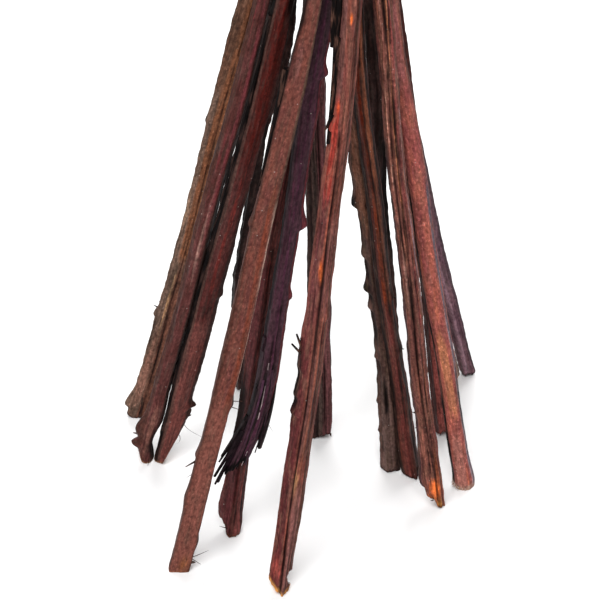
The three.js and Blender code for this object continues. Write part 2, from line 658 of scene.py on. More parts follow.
@dataclass(frozen=True)
class Twine:
    """Natural plant-fibre twine: straw coloured, dull, and hairy."""

    name: str = "plant_fibre_twine"
    base: str = "#b8925f"
    dark: str = "#7f5f3a"

    def material(self) -> bpy.types.Material:
        """Makes the twine's material.

        Returns:
            The material, with its nodes.
        """
        material = blank_material(self.name)
        tree = material.node_tree
        place = add_node(tree, "TexCoord").outputs["Object"]
        fibres = Rind.pattern(tree, place, (0.4 * MM, 0.8 * MM), 3.0)
        stains = Rind.pattern(tree, place, (9 * MM, 9 * MM), 2.0)
        share = Rind.between(tree, fibres, 0.35, 0.65, 0.0, 1.0)
        colour = Rind.mix(tree, share, to_linear(self.dark), to_linear(self.base))
        soiled = Rind.between(tree, stains, 0.45, 0.7, 0.0, 0.5)
        colour = Rind.mix(tree, soiled, colour, Rind.scaled(tree, colour, 0.6))
        bump = add_node(
            tree, "Bump", None, {"Strength": 0.7, "Distance": 0.2 * MM, "Height": fibres}
        )
        shader = add_node(
            tree,
            "BsdfPrincipled",
            None,
            {
                "Base Color": colour,
                "Roughness": 0.92,
                "Normal": bump.outputs["Normal"],
                "Sheen Weight": 0.25,
                "Sheen Roughness": 0.6,
            },
        )
        add_node(tree, "OutputMaterial", None, {"Surface": shader.outputs["BSDF"]})
        return material


# --- What is carved and painted on a twig ----------------------------------------------


@dataclass(frozen=True)
class Band:
    """A lengthwise band of another colour: a facet's own rind, and on some sides painted shade."""

    bearing: float
    half_width: float  # in degrees
    colour: str
    strength: float = 1.0
    heights: tuple[float, float] = (-1.0, 2.0)


@dataclass(frozen=True)
class Patch:
    """A spot of another colour: a scar, a scrape or bared wood."""

    height: float
    bearing: float
    length: float
    width: float
    colour: str
    strength: float = 1.0


@dataclass(frozen=True)
class Groove:
    """A lengthwise furrow that wanders a little."""

    bearing: float
    depth: float
    width: float
    heights: tuple[float, float] = (-1.0, 2.0)


class Slot(Enum):
    """The part's own materials, which each twig's finish stands for."""

    GREY_BARK = "grey_bark"
    DARK_BARK = "dark_bark"
    RED_RIND = "red_rind"
    PURPLE_RIND = "purple_rind"
    SMOOTH_RIND = "smooth_rind"
    RIBBED_WOOD = "ribbed_wood"
    TWINE = "twine"


class Ledge(Enum):
    """Which side of a knot breaks off sharply."""

    NONE = 0
    BELOW = 1
    ABOVE = 2


@dataclass(frozen=True)
class Knot:
    """A bud scar, a lump or, where jut is negative, a dent."""

    height: float
    bearing: float
    jut: float
    length: float = 4 * MM
    width: float = 3 * MM
    ledge: Ledge = Ledge.NONE


@dataclass(frozen=True)
class End:
    """The shape of a cut or broken end.

    profile gives how far the end stops short, from the left edge (-1) to the right (1).
    """

    profile: tuple[tuple[float, float], ...] = ((-1.0, 0.0), (1.0, 0.0))
    splinter: float = 0.3 * MM
    wood: str = CUT_WOOD
    bared: float = 0.8 * MM  # how far up from the edge the rind has gone

    def shortfall(self, across: np.ndarray, deep: np.ndarray, seed: int) -> np.ndarray:
        """How far the end stops short at places on the section.

        Args:
            across: From -1 at the left edge to 1 at the right.
            deep: From -1 at the front to 1 at the back.
            seed: A whole number that picks the splinters.

        Returns:
            The shortfall in metres.
        """
        places = [p[0] for p in self.profile]
        depths = [p[1] for p in self.profile]
        edge = np.interp(across, places, depths)
        wide = smooth_noise(np.stack([across * 2.1, deep * 1.6, deep * 0], 1), seed)
        fine = smooth_noise(np.stack([across * 5.3, deep * 4.1, deep * 0], 1), seed + 7)
        rough = np.abs(wide) + 0.8 * np.abs(fine) - 0.5
        return edge + self.splinter * np.clip(rough, 0, None)


@dataclass(frozen=True)
class Sliver:
    """A splinter, a loose strip of rind or a hair, set on a twig; long black strips of it
    are painted shade in dark gaps between twigs.

    It starts at a height and bearing on the rind and runs off along (out, side, up):
    away from the twig's middle, towards growing bearings, and up.
    """

    height: float
    bearing: float
    direction: tuple[float, float, float]
    length: float
    width: float
    thickness: float
    curl: tuple[float, float, float] = (0.0, 0.0, 0.0)
    colour: str = DARK
    depth: float = 0.5 * MM  # how deep its root is sunk
    taper: float = 0.75


@dataclass(frozen=True)
class Bite:
    """A round bite out of one edge."""

    height: float
    bearing: float
    radius: float
    offset: float  # from the twig's middle to the bite's middle


@dataclass(frozen=True)
class Crook:
    """A place where the twig goes aside and comes back."""

    height: float
    length: float
    aside: tuple[float, float]  # towards +X and +Y


# --- Twigs -----------------------------------------------------------------------------


@dataclass
class Core:
    """The form of the part's own twig: a row of level rings."""

    heights: np.ndarray
    centres: np.ndarray
    outlines: np.ndarray  # for each ring, STICK_SIDES points about its centre

    @classmethod
    def measured(cls, node: bpy.types.Object) -> "Core":
        """Measures a node of the part.

        Args:
            node: The part's twig. It is only read.

        Returns:
            Its rings, from the foot up.
        """
        points = coordinates(node.data)
        levels = np.round(points[:, 2], 4)
        heights, centres, outlines = [], [], []
        for level in np.unique(levels):
            ring = np.unique(np.round(points[levels == level], 6), axis=0)
            middle = (ring[:, :2].min(0) + ring[:, :2].max(0)) / 2
            reach = np.linalg.norm(ring[:, :2] - middle, axis=1)
            ring = ring[reach > CORNER_REACH * reach.max()]
            middle = ring[:, :2].mean(0)
            offsets = ring[:, :2] - middle
            angles = np.arctan2(offsets[:, 1], offsets[:, 0]) % (2 * math.pi)
            offsets = offsets[np.argsort(angles)]
            heights.append(ring[:, 2].mean())
            centres.append(middle)
            outlines.append(cls.rounded(offsets))
        return cls(np.array(heights), np.array(centres), cls.aligned(outlines))

    @staticmethod
    def rounded(corners: np.ndarray) -> np.ndarray:
        """Draws a smooth closed outline through a ring of corners.

        Args:
            corners: The corners, in order, about the ring's centre.

        Returns:
            STICK_SIDES points of the outline.
        """
        steps = np.arange(STICK_SIDES) * len(corners) / STICK_SIDES
        first = np.floor(steps).astype(int)
        t = (steps - first)[:, None]
        a, b, c, d = (corners[(first + k) % len(corners)] for k in (-1, 0, 1, 2))
        rise = 2 * b + (c - a) * t + (2 * a - 5 * b + 4 * c - d) * t**2
        return 0.5 * (rise + (3 * b - a - 3 * c + d) * t**3)

    @staticmethod
    def aligned(outlines: list[np.ndarray]) -> np.ndarray:
        """Turns each outline's numbering so that it starts nearest the start of the one below.

        Args:
            outlines: The outlines, from the foot up.

        Returns:
            The outlines in one array.
        """
        turned = [outlines[0]]
        for outline in outlines[1:]:
            gaps = np.linalg.norm(outline - turned[-1][0], axis=1)
            turned.append(np.roll(outline, -int(np.argmin(gaps)), axis=0))
        return np.array(turned)

    @property
    def foot(self) -> float:
        """The height of the lower end."""
        return float(self.heights[0])

    @property
    def tip(self) -> float:
        """The height of the upper end."""
        return float(self.heights[-1])

    @property
    def radius(self) -> float:
        """The mean radius at the foot."""
        return float(np.linalg.norm(self.outlines[0], axis=1).mean())

    @property
    def lean(self) -> np.ndarray:
        """How far the twig goes aside at its foot, for each metre up."""
        return (self.centres[1] - self.centres[0]) / (self.heights[1] - self.heights[0])

    def smoothly(self, values: np.ndarray, at: np.ndarray) -> np.ndarray:
        """Runs a smooth curve through one value for each ring.

        Args:
            values: A row for each ring.
            at: The heights that are asked for.

        Returns:
            A row for each height asked for.
        """
        slopes = np.gradient(values, self.heights, axis=0)
        at = np.clip(at, self.foot, self.tip)
        low = np.clip(np.searchsorted(self.heights, at) - 1, 0, len(self.heights) - 2)
        gap = self.heights[low + 1] - self.heights[low]
        shape = (-1,) + (1,) * (values.ndim - 1)
        t = ((at - self.heights[low]) / gap).reshape(shape)
        gap = gap.reshape(shape)
        start = values[low] * (1 + 2 * t) * (1 - t) ** 2 + slopes[low] * gap * t * (1 - t) ** 2
        end = values[low + 1] * (3 - 2 * t) * t**2 + slopes[low + 1] * gap * t**2 * (t - 1)
        return start + end

    def middle_at(self, heights: np.ndarray) -> np.ndarray:
        """Gives the twig's middle at some heights."""
        return self.smoothly(self.centres, heights)

    def size_at(self, heights: np.ndarray) -> np.ndarray:
        """Gives the section's size at some heights, against that at the foot."""
        sizes = np.linalg.norm(self.outlines, axis=2).mean(1) / self.radius
        return self.smoothly(sizes, heights)


class Stick:
    """The master stick that every twig is made from: one unit long and one in radius."""

    def __init__(self) -> None:
        """Models the master stick."""
        self.obj = self.model()

    @staticmethod
    def model() -> bpy.types.Object:
        """Models a cylinder with many rows and with ringed ends.

        Returns:
            The stick, standing on the origin.
        """
        bpy.ops.object.select_all(action="DESELECT")
        bpy.ops.mesh.primitive_cylinder_add(
            vertices=STICK_SIDES, radius=1, depth=1, location=(0, 0, 0.5)
        )
        stick = bpy.context.active_object
        stick.name = "master_stick"
        bpy.ops.object.transform_apply(location=True)
        add_rows(stick, STICK_ROWS)
        for face in stick.data.polygons:
            face.select = abs(face.normal.z) > 0.5
        for element in (*stick.data.vertices, *stick.data.edges):
            element.select = False
        bpy.context.tool_settings.mesh_select_mode = (False, False, True)
        bpy.ops.object.mode_set(mode="EDIT")
        for inset in CAP_RINGS:
            bpy.ops.mesh.inset(thickness=inset, depth=0, use_individual=True)
        bpy.ops.mesh.poke()
        bpy.ops.object.mode_set(mode="OBJECT")
        return stick

    def copy(self, name: str) -> bpy.types.Object:
        """Copies the stick, with a mesh of its own.

        Args:
            name: The copy's name.

        Returns:
            The copy.
        """
        copied = self.obj.copy()
        copied.data = self.obj.data.copy()
        copied.name = name
        copied.data.name = name
        bpy.context.collection.objects.link(copied)
        return copied

    def remove(self) -> None:
        """Takes the master stick out of the scene."""
        bpy.data.objects.remove(self.obj, do_unlink=True)


class SliverStock:
    """The master sliver that splinters, strips and hairs are copied from."""

    def __init__(self) -> None:
        """Models the master sliver: a slim cone, one unit long and one in radius."""
        bpy.ops.object.select_all(action="DESELECT")
        bpy.ops.mesh.primitive_cone_add(
            vertices=SLIVER_SIDES, radius1=1, radius2=0.999, depth=1, location=(0, 0, 0.5)
        )
        self.obj = bpy.context.active_object
        self.obj.name = "master_sliver"
        bpy.ops.object.transform_apply(location=True)
        add_rows(self.obj, SLIVER_ROWS)
        self.points = coordinates(self.obj.data)

    def cut(self, sliver: Sliver, core: Core, material: bpy.types.Material) -> bpy.types.Object:
        """Cuts one sliver for a straight twig.

        Args:
            sliver: Its place and shape.
            core: The twig's form.
            material: The twig's finish.

        Returns:
            The sliver, in the straight twig's space, with its attributes.
        """
        bearing = math.radians(sliver.bearing)
        out = np.array([math.cos(bearing), math.sin(bearing), 0.0])
        side = np.array([-math.sin(bearing), math.cos(bearing), 0.0])
        up = np.array([0.0, 0.0, 1.0])
        frame = np.stack([out, side, up])
        outline = core.outlines[0] * core.size_at(np.array([sliver.height]))[0]
        reach = np.max(outline @ out[:2])
        root = out * (reach - sliver.depth) + up * sliver.height
        way = np.array(sliver.direction, float)
        way = (way / np.linalg.norm(way)) @ frame
        curl = np.array(sliver.curl) @ frame
        t = self.points[:, 2]
        middles = root + np.outer(t, way) * sliver.length + np.outer(t**2, curl) * sliver.length
        broad = np.cross(way, out) if abs(way @ out) < 0.9 else side
        broad = broad / np.linalg.norm(broad)
        thin = np.cross(way, broad)
        slim = (1 - sliver.taper * t**1.5) * 0.5
        offsets = np.outer(self.points[:, 0] * slim * sliver.width, broad)
        offsets += np.outer(self.points[:, 1] * slim * sliver.thickness, thin)
        made = self.obj.copy()
        made.data = self.obj.data.copy()
        bpy.context.collection.objects.link(made)
        points = middles + offsets
        set_coordinates(made.data, points)
        store(made.data, "grain", "FLOAT_VECTOR", "vector", points)
        tint = np.tile(to_linear(sliver.colour), (len(points), 1))
        store(made.data, "paint", "FLOAT_COLOR", "color", tint)
        store(made.data, "hollow", "FLOAT", "value", np.zeros(len(points)))
        made.data.materials.append(material)
        return made

    def remove(self) -> None:
        """Takes the master sliver out of the scene."""
        bpy.data.objects.remove(self.obj, do_unlink=True)


@dataclass
class Twig:
    """One twig, from its bark to its splinters."""

    node: str
    rind: Rind
    slot: Slot
    seed: int
    ribs: float = 0.5 * MM  # height of the lengthwise ribs, 1.8 mm apart
    scabs: float = 0.3 * MM  # height of the small scabs, 3 mm across
    lumps: float = 0.5 * MM  # height of the broad lumps, 8 mm across
    wander: float = 0.5 * MM  # how far the twig strays from a true line
    foot: End = field(default_factory=End)
    tip: End = field(default_factory=lambda: End(((-1.0, 0.0), (1.0, 2 * MM)), 0.2 * MM))
    bands: tuple[Band, ...] = ()
    patches: tuple[Patch, ...] = ()
    grooves: tuple[Groove, ...] = ()
    knots: tuple[Knot, ...] = ()
    slivers: tuple[Sliver, ...] = ()
    bites: tuple[Bite, ...] = ()
    crooks: tuple[Crook, ...] = ()

    def build(self, node: bpy.types.Object, stick: Stick, stock: SliverStock) -> bpy.types.Object:
        """Makes the twig and puts it in the place of the part's own.

        Args:
            node: The part's twig.
            stick: The master stick.
            stock: The master sliver.

        Returns:
            The finished twig.
        """
        core = Core.measured(node)
        material = self.rind.material()
        twig = stick.copy(self.node + "_wood")
        twig.data.materials.append(material)
        self.section(twig, core)
        smooth = coordinates(twig.data)
        self.raise_bark(twig)
        self.carve(twig, core)
        self.break_ends(twig, core)
        self.paint(twig, core, smooth)
        for bite in self.bites:
            self.bite_out(twig, bite)
        self.set_slivers(twig, core, stock, material)
        self.bend(twig, core)
        select_only(twig)
        bpy.ops.object.shade_smooth_by_angle(angle=math.radians(CRISP_ANGLE))
        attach(twig, "root")
        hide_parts(self.node)
        return twig

    def section(self, twig: bpy.types.Object, core: Core) -> None:
        """Gives the straight stick the part's section, size and length.

        Args:
            twig: A copy of the master stick.
            core: The form of the part's twig.
        """
        points = coordinates(twig.data)
        share = points[:, 2]
        lower = share / FINE_ROWS * FINE_SHARE
        upper = 1 - (1 - share) / (1 - FINE_ROWS) * (1 - FINE_SHARE)
        share = np.where(share < FINE_ROWS, lower, upper)
        heights = core.foot + share * (core.tip - core.foot)
        reach = np.linalg.norm(points[:, :2], axis=1)
        turn = np.arctan2(points[:, 1], points[:, 0]) / (2 * math.pi)
        column = np.round(turn * STICK_SIDES).astype(int) % STICK_SIDES
        size = core.size_at(heights) * np.minimum(reach, 1)
        flat = core.outlines[0][column] * size[:, None]
        set_coordinates(twig.data, np.column_stack([flat, heights]))

    def raise_bark(self, twig: bpy.types.Object) -> None:
        """Raises lumps, scabs and ribs of bark on the straight twig.

        Args:
            twig: The straight twig.
        """
        select_only(twig)
        for size, stretch, height in (
            (8 * MM, 1.6, self.lumps),
            (3 * MM, 1.7, self.scabs),
            (1.8 * MM, 22.0, self.ribs),
        ):
            texture = bpy.data.textures.new("bark", "CLOUDS")
            texture.noise_scale = 1.0
            texture.noise_depth = 2
            bpy.ops.object.empty_add(location=(0.1 * self.seed, size, 0.07 * self.seed))
            rule = bpy.context.active_object
            rule.scale = (size, size, size * stretch)
            bpy.context.view_layer.update()
            select_only(twig)
            displace = twig.modifiers.new("bark", "DISPLACE")
            displace.texture = texture
            displace.texture_coords = "OBJECT"
            displace.texture_coords_object = rule
            displace.mid_level = 0.5
            displace.strength = 1.6 * height
            bpy.ops.object.modifier_apply(modifier=displace.name)
            bpy.data.objects.remove(rule, do_unlink=True)

    def carve(self, twig: bpy.types.Object, core: Core) -> None:
        """Cuts the grooves and sets the knots on the straight twig.

        Args:
            twig: The straight twig.
            core: Its form.
        """
        points = coordinates(twig.data)
        bearings = np.degrees(np.arctan2(points[:, 1], points[:, 0]))
        heights = points[:, 2]
        reach = np.linalg.norm(points[:, :2], axis=1)
        raised = np.zeros(len(points))
        for index, groove in enumerate(self.grooves):
            stray = 8 * np.sin(heights / (37 * MM) + self.seed + 2.3 * index)
            gap = turn_between(bearings, groove.bearing + stray)
            across = np.radians(gap) * core.radius / groove.width
            fade = fade_in_out(heights, groove.heights, GROOVE_FADE)
            raised -= groove.depth * np.exp(-(across**2)) * fade
        for knot in self.knots:
            gap = turn_between(bearings, knot.bearing)
            across = np.radians(gap) * core.radius / knot.width
            along = (heights - knot.height) / knot.length
            steep = {
                Ledge.NONE: along,
                Ledge.BELOW: np.where(along < 0, along * 3.5, along),
                Ledge.ABOVE: np.where(along > 0, along * 3.5, along),
            }[knot.ledge]
            raised += knot.jut * np.exp(-(across**2) - steep**2)
        on_rind = np.clip(reach / core.radius * 1.6 - 0.4, 0, 1)
        scale = 1 + raised * on_rind / np.maximum(reach, 1 * MM)
        points[:, :2] *= scale[:, None]
        set_coordinates(twig.data, points)

    def break_ends(self, twig: bpy.types.Object, core: Core) -> None:
        """Shapes the two ends of the straight twig.

        Args:
            twig: The straight twig.
            core: Its form.
        """
        points = coordinates(twig.data)
        half = np.abs(core.outlines[0]).max(0)
        across = points[:, 0] / half[0]
        deep = points[:, 1] / half[1]
        for end, edge, way in ((self.foot, core.foot, 1), (self.tip, core.tip, -1)):
            short = end.shortfall(across, deep, self.seed)
            short -= short.min()
            run = 2.4 * short.max() + 2 * MM
            near = np.clip(1 - np.abs(points[:, 2] - edge) / run, 0, 1)
            points[:, 2] += way * short * near**2
        points[:, 2] = np.clip(points[:, 2], core.foot, core.tip)
        set_coordinates(twig.data, points)

    def paint(self, twig: bpy.types.Object, core: Core, smooth: np.ndarray) -> None:
        """Paints the bands, the patches and the cut ends, and marks the hollows.

        Args:
            twig: The straight twig.
            core: Its form.
            smooth: Its points before the bark was raised.
        """
        mesh = twig.data
        points = coordinates(mesh)
        bearings = np.degrees(np.arctan2(smooth[:, 1], smooth[:, 0]))
        heights = points[:, 2]
        tint = np.zeros((len(points), 4))
        tint[:, :3] = to_linear(self.rind.base)[:3]
        for band in self.bands:
            gap = turn_between(bearings, band.bearing + 6 * np.sin(heights / (43 * MM) + self.seed))
            fade = fade_in_out(heights, band.heights, BAND_FADE)
            share = band.strength * np.exp(-((gap / band.half_width) ** 6)) * fade
            self.lay(tint, band.colour, share)
        for patch in self.patches:
            gap = np.radians(turn_between(bearings, patch.bearing)) * core.radius / patch.width
            along = (heights - patch.height) / patch.length
            self.lay(tint, patch.colour, patch.strength * np.exp(-(gap**2) - along**2))
        half = np.abs(core.outlines[0]).max(0)
        inside = np.linalg.norm(smooth[:, :2], axis=1) < 0.75 * core.radius * core.size_at(heights)
        for end, edge, way in ((self.foot, core.foot, 1), (self.tip, core.tip, -1)):
            short = end.shortfall(smooth[:, 0] / half[0], smooth[:, 1] / half[1], self.seed)
            short -= short.min()
            height = way * (heights - edge) - short
            self.lay(tint, end.wood, np.clip(1.3 - height / end.bared, 0, 1))
            face = inside & (np.abs(smooth[:, 2] - edge) < 0.01 * MM)
            self.lay(tint, end.wood, face.astype(float))
        # How far each point sank below the smooth stick; the rind paints these hollows dark as
        # shade.
        sunk = np.linalg.norm(smooth[:, :2], axis=1) - np.linalg.norm(points[:, :2], axis=1)
        hollow = np.clip((sunk - 0.1 * MM) / (0.9 * MM), 0, 1)
        store(mesh, "grain", "FLOAT_VECTOR", "vector", points + (0, 0, 0.9 * self.seed))
        store(mesh, "paint", "FLOAT_COLOR", "color", tint)
        store(mesh, "hollow", "FLOAT", "value", hollow)

    @staticmethod
    def lay(tint: np.ndarray, colour: str, share: np.ndarray) -> None:
        """Lays a colour over the paint.

        Args:
            tint: The paint so far: a colour and how far it covers, for each vertex.
            colour: The colour to lay on, as sRGB hex.
            share: How far it covers each vertex.
        """
        share = np.clip(share, 0, 1)
        kept = tint[:, 3] * (1 - share)
        total = kept + share
        weight = np.divide(share, total, out=np.zeros_like(share), where=total > 1e-6)
        tint[:, :3] += (np.array(to_linear(colour)[:3]) - tint[:, :3]) * weight[:, None]
        tint[:, 3] = total

    @staticmethod
    def bite_out(twig: bpy.types.Object, bite: Bite) -> None:
        """Cuts a round bite out of the straight twig's edge.

        Args:
            twig: The straight twig.
            bite: The bite's place and size.
        """
        bearing = math.radians(bite.bearing)
        place = Vector((math.cos(bearing), math.sin(bearing), 0)) * bite.offset
        place.z = bite.height
        bpy.ops.object.select_all(action="DESELECT")
        bpy.ops.mesh.primitive_uv_sphere_add(
            segments=24,
            ring_count=16,
            radius=bite.radius,
            location=place,
            rotation=(math.radians(BITE_TILT), 0, 0),
            scale=(1, 4, 1.05),
        )
        tooth = bpy.context.active_object
        select_only(twig)
        cut = twig.modifiers.new("bite", "BOOLEAN")
        cut.operation = "DIFFERENCE"
        cut.solver = "EXACT"
        cut.object = tooth
        bpy.ops.object.modifier_apply(modifier=cut.name)
        bpy.data.objects.remove(tooth, do_unlink=True)

    def set_slivers(
        self,
        twig: bpy.types.Object,
        core: Core,
        stock: SliverStock,
        material: bpy.types.Material,
    ) -> None:
        """Sets the splinters and hairs on the straight twig.

        Args:
            twig: The straight twig.
            core: Its form.
            stock: The master sliver.
            material: The twig's finish.
        """
        if not self.slivers:
            return
        made = [stock.cut(sliver, core, material) for sliver in self.slivers]
        select_only(twig)
        for piece in made:
            piece.select_set(True)
        bpy.ops.object.join()

    def bend(self, twig: bpy.types.Object, core: Core) -> None:
        """Bends the straight twig along the part's own.

        Args:
            twig: The straight twig.
            core: The form of the part's twig.
        """
        points = coordinates(twig.data)
        heights = points[:, 2]
        held = np.clip((heights - core.foot) / HELD_FOOT, 0, 1)
        sway = held * self.wander * np.sin(heights / (23 * MM) + 1.7 * self.seed)
        swing = held * self.wander * np.sin(heights / (31 * MM) + 2.9 * self.seed)
        points[:, :2] += core.middle_at(heights) + np.stack([sway, swing], 1)
        below = np.minimum(heights - core.foot, 0)[:, None]
        points[:, :2] += below * core.lean
        for crook in self.crooks:
            share = np.exp(-(((heights - crook.height) / crook.length) ** 2))
            points[:, :2] += share[:, None] * crook.aside
        points[:, 2] = np.maximum(points[:, 2], 0)
        set_coordinates(twig.data, points)


def left_twigs() -> list[Twig]:
    """Lists the four twigs of the left group.

    Returns:
        The twigs, from the left to the right.
    """
    return [
        Twig(
            "twig_far_left",
            GREY_BARK,
            Slot.GREY_BARK,
            1,
            scabs=0.5 * MM,
            lumps=0.8 * MM,
            foot=End(((-1.0, 2 * MM), (-0.4, 0.0), (1.0, 1 * MM)), 1.0 * MM, DARK),
            bands=(
                Band(-90, 36, "#784b34", 0.9, (110 * MM, 1.0)),
                Band(-78, 26, "#674134", 0.8, (-1.0, 120 * MM)),
                Band(-36, 9, "#2b1512", 0.9),
                Band(-150, 40, "#583c2f", 0.8, (225 * MM, 1.0)),
                Band(178, 16, "#33261f", 0.7, (130 * MM, 1.0)),
            ),
            patches=(
                Patch(86 * MM, -112, 18 * MM, 0.7 * MM, "#a9815c", 0.7),
                Patch(35 * MM, -125, 30 * MM, 2.5 * MM, "#7a5548"),
            ),
            grooves=(Groove(-80, 0.9 * MM, 0.8 * MM),),
            knots=(
                Knot(277 * MM, 180, 1.5 * MM, 38 * MM, 5 * MM),
                Knot(212 * MM, 180, 0.9 * MM, 5 * MM, 3 * MM, Ledge.BELOW),
                Knot(119 * MM, 180, 0.5 * MM, 4 * MM, 3 * MM, Ledge.BELOW),
                Knot(76 * MM, 175, 1.6 * MM, 4 * MM, 3 * MM, Ledge.BELOW),
                Knot(10 * MM, 185, 3.0 * MM, 8 * MM, 4 * MM, Ledge.BELOW),
            ),
            slivers=(
                Sliver(80 * MM, 182, (1, 0, 0.6), 4 * MM, 1.2 * MM, 0.9 * MM),
                Sliver(84 * MM, 186, (1, 0, 1.2), 7 * MM, 0.4 * MM, 0.4 * MM, (-0.9, 0, -0.6)),
                Sliver(16 * MM, -95, (0.1, 0.2, -1), 14 * MM, 1.4 * MM, 0.8 * MM),
            ),
            crooks=(Crook(0, 20 * MM, (-0.4 * MM, -1.6 * MM)),),
        ),
        Twig(
            "twig_left",
            MAUVE_RIND,
            Slot.RED_RIND,
            2,
            ribs=0.5 * MM,
            foot=End(
                ((-1.0, 9 * MM), (-0.5, 4 * MM), (-0.2, 1 * MM), (0.2, 0.0), (1.0, 0.0)), 0.9 * MM
            ),
            bands=(
                # Painted shade: the right side is black, for the deep shade in the gap against the
                # next twig.
                Band(-3, 30, BLACK),
                Band(-46, 12, "#3a2a27", 0.8),
                Band(-80, 12, "#6a3034", 0.6, (120 * MM, 330 * MM)),
                Band(-165, 30, "#43251f", 0.8),
            ),
            patches=(
                Patch(24 * MM, -100, 22 * MM, 2.5 * MM, "#7a5146", 0.6),
                Patch(150 * MM, -95, 28 * MM, 1.2 * MM, "#8c6a60", 0.6),
            ),
            knots=(
                Knot(9 * MM, 180, 4.2 * MM, 6 * MM, 4.5 * MM, Ledge.ABOVE),
                Knot(23 * MM, 180, 3.9 * MM, 8 * MM, 4 * MM),
                Knot(14 * MM, 0, -3.6 * MM, 9 * MM, 6 * MM),
            ),
            slivers=(
                Sliver(18 * MM, 182, (1, 0, 0.2), 5 * MM, 2 * MM, 1.6 * MM, colour="#4a2c28"),
                Sliver(3 * MM, -60, (0.3, -0.2, -0.1), 5 * MM, 0.5 * MM, 0.5 * MM),
            ),
        ),
        Twig(
            "twig_left_red",
            DEEP_RED_RIND,
            Slot.RED_RIND,
            3,
            ribs=0.5 * MM,
            lumps=0.6 * MM,
            foot=End(
                ((-1.0, 1 * MM), (-0.7, 0.0), (-0.2, 0.5 * MM), (0.3, 12 * MM), (1.0, 27 * MM)),
                0.8 * MM,
            ),
            bands=(
                Band(-90, 70, "#42130e", 1.0, (205 * MM, 1.0)),
                Band(-90, 60, "#4f2e2c", 0.4, (120 * MM, 205 * MM)),
                Band(-90, 70, "#633530", 0.8, (-1.0, 110 * MM)),
                # Painted shade: black down the left side, for the deep shade between this twig and
                # the next.
                Band(-180, 28, BLACK),
                Band(-146, 10, "#4b332d", 0.8),
                Band(-80, 16, "#6b201b", 0.5, (110 * MM, 1.0)),
                # Painted shade: near-black down the right side, which lies in shade.
                Band(11, 18, "#1c0d0b", 0.95, (190 * MM, 1.0)),
                Band(5, 32, "#2c1815", 0.8, (-1.0, 200 * MM)),
            ),
            knots=(
                Knot(255 * MM, 0, 1.0 * MM, 34 * MM, 5 * MM),
                Knot(200 * MM, 180, 1.2 * MM, 30 * MM, 5 * MM),
                Knot(62 * MM, 180, 1.4 * MM, 34 * MM, 5 * MM),
                Knot(144 * MM, 0, 1.3 * MM, 28 * MM, 5 * MM),
                Knot(117 * MM, 0, 1.2 * MM, 4 * MM, 3 * MM, Ledge.BELOW),
                Knot(90 * MM, 0, 0.8 * MM, 40 * MM, 5 * MM),
                Knot(32 * MM, 2, 2.8 * MM, 5 * MM, 3.5 * MM, Ledge.BELOW),
                Knot(22 * MM, 0, 1.6 * MM, 9 * MM, 4 * MM),
                Knot(316 * MM, 0, -1.8 * MM, 18 * MM, 5 * MM),
            ),
            slivers=(
                # Painted shade: a long black strip along the left side fills the shaded gap beside
                # the twig.
                Sliver(
                    300 * MM, 176, (0, 0, -1), 278 * MM, 6 * MM, 3 * MM, colour=BLACK, taper=0.2
                ),
                Sliver(118 * MM, -2, (1, 0, 0.2), 2 * MM, 2 * MM, 1.2 * MM, colour=BLACK),
                Sliver(32 * MM, -5, (1, -0.2, 0.5), 3 * MM, 2.4 * MM, 1.4 * MM, colour=BLACK),
                Sliver(28 * MM, -20, (0.5, 0, -1), 10 * MM, 0.35 * MM, 0.35 * MM, (0.9, 0, 0.2)),
                Sliver(20 * MM, -30, (0.9, 0, -1), 14 * MM, 0.35 * MM, 0.35 * MM, (-1.1, 0, 0)),
            ),
            crooks=(Crook(0, 20 * MM, (-0.6 * MM, -1.6 * MM)),),
        ),
        Twig(
            "twig_back_left",
            DARK_BARK,
            Slot.DARK_BARK,
            4,
            scabs=0.6 * MM,
            lumps=1.0 * MM,
            foot=End(((-1.0, 0.0), (-0.3, 3 * MM), (0.3, 9 * MM), (1.0, 14 * MM)), 3 * MM, BLACK),
            bands=(Band(-60, 20, "#5d4a3e", 0.6, (30 * MM, 90 * MM)),),
            knots=(
                Knot(160 * MM, 180, -1.7 * MM, 55 * MM, 5 * MM),
                Knot(232 * MM, 0, 2.0 * MM, 24 * MM, 5 * MM),
                Knot(290 * MM, 0, -2.6 * MM, 18 * MM, 5 * MM),
                Knot(190 * MM, 0, -0.8 * MM, 30 * MM, 5 * MM),
                Knot(104 * MM, 180, -1.4 * MM, 36 * MM, 5 * MM),
            ),
            crooks=(
                Crook(192 * MM, 34 * MM, (-2.2 * MM, 1.2 * MM)),
                Crook(290 * MM, 36 * MM, (-2.2 * MM, 1.2 * MM)),
            ),
        ),
    ]


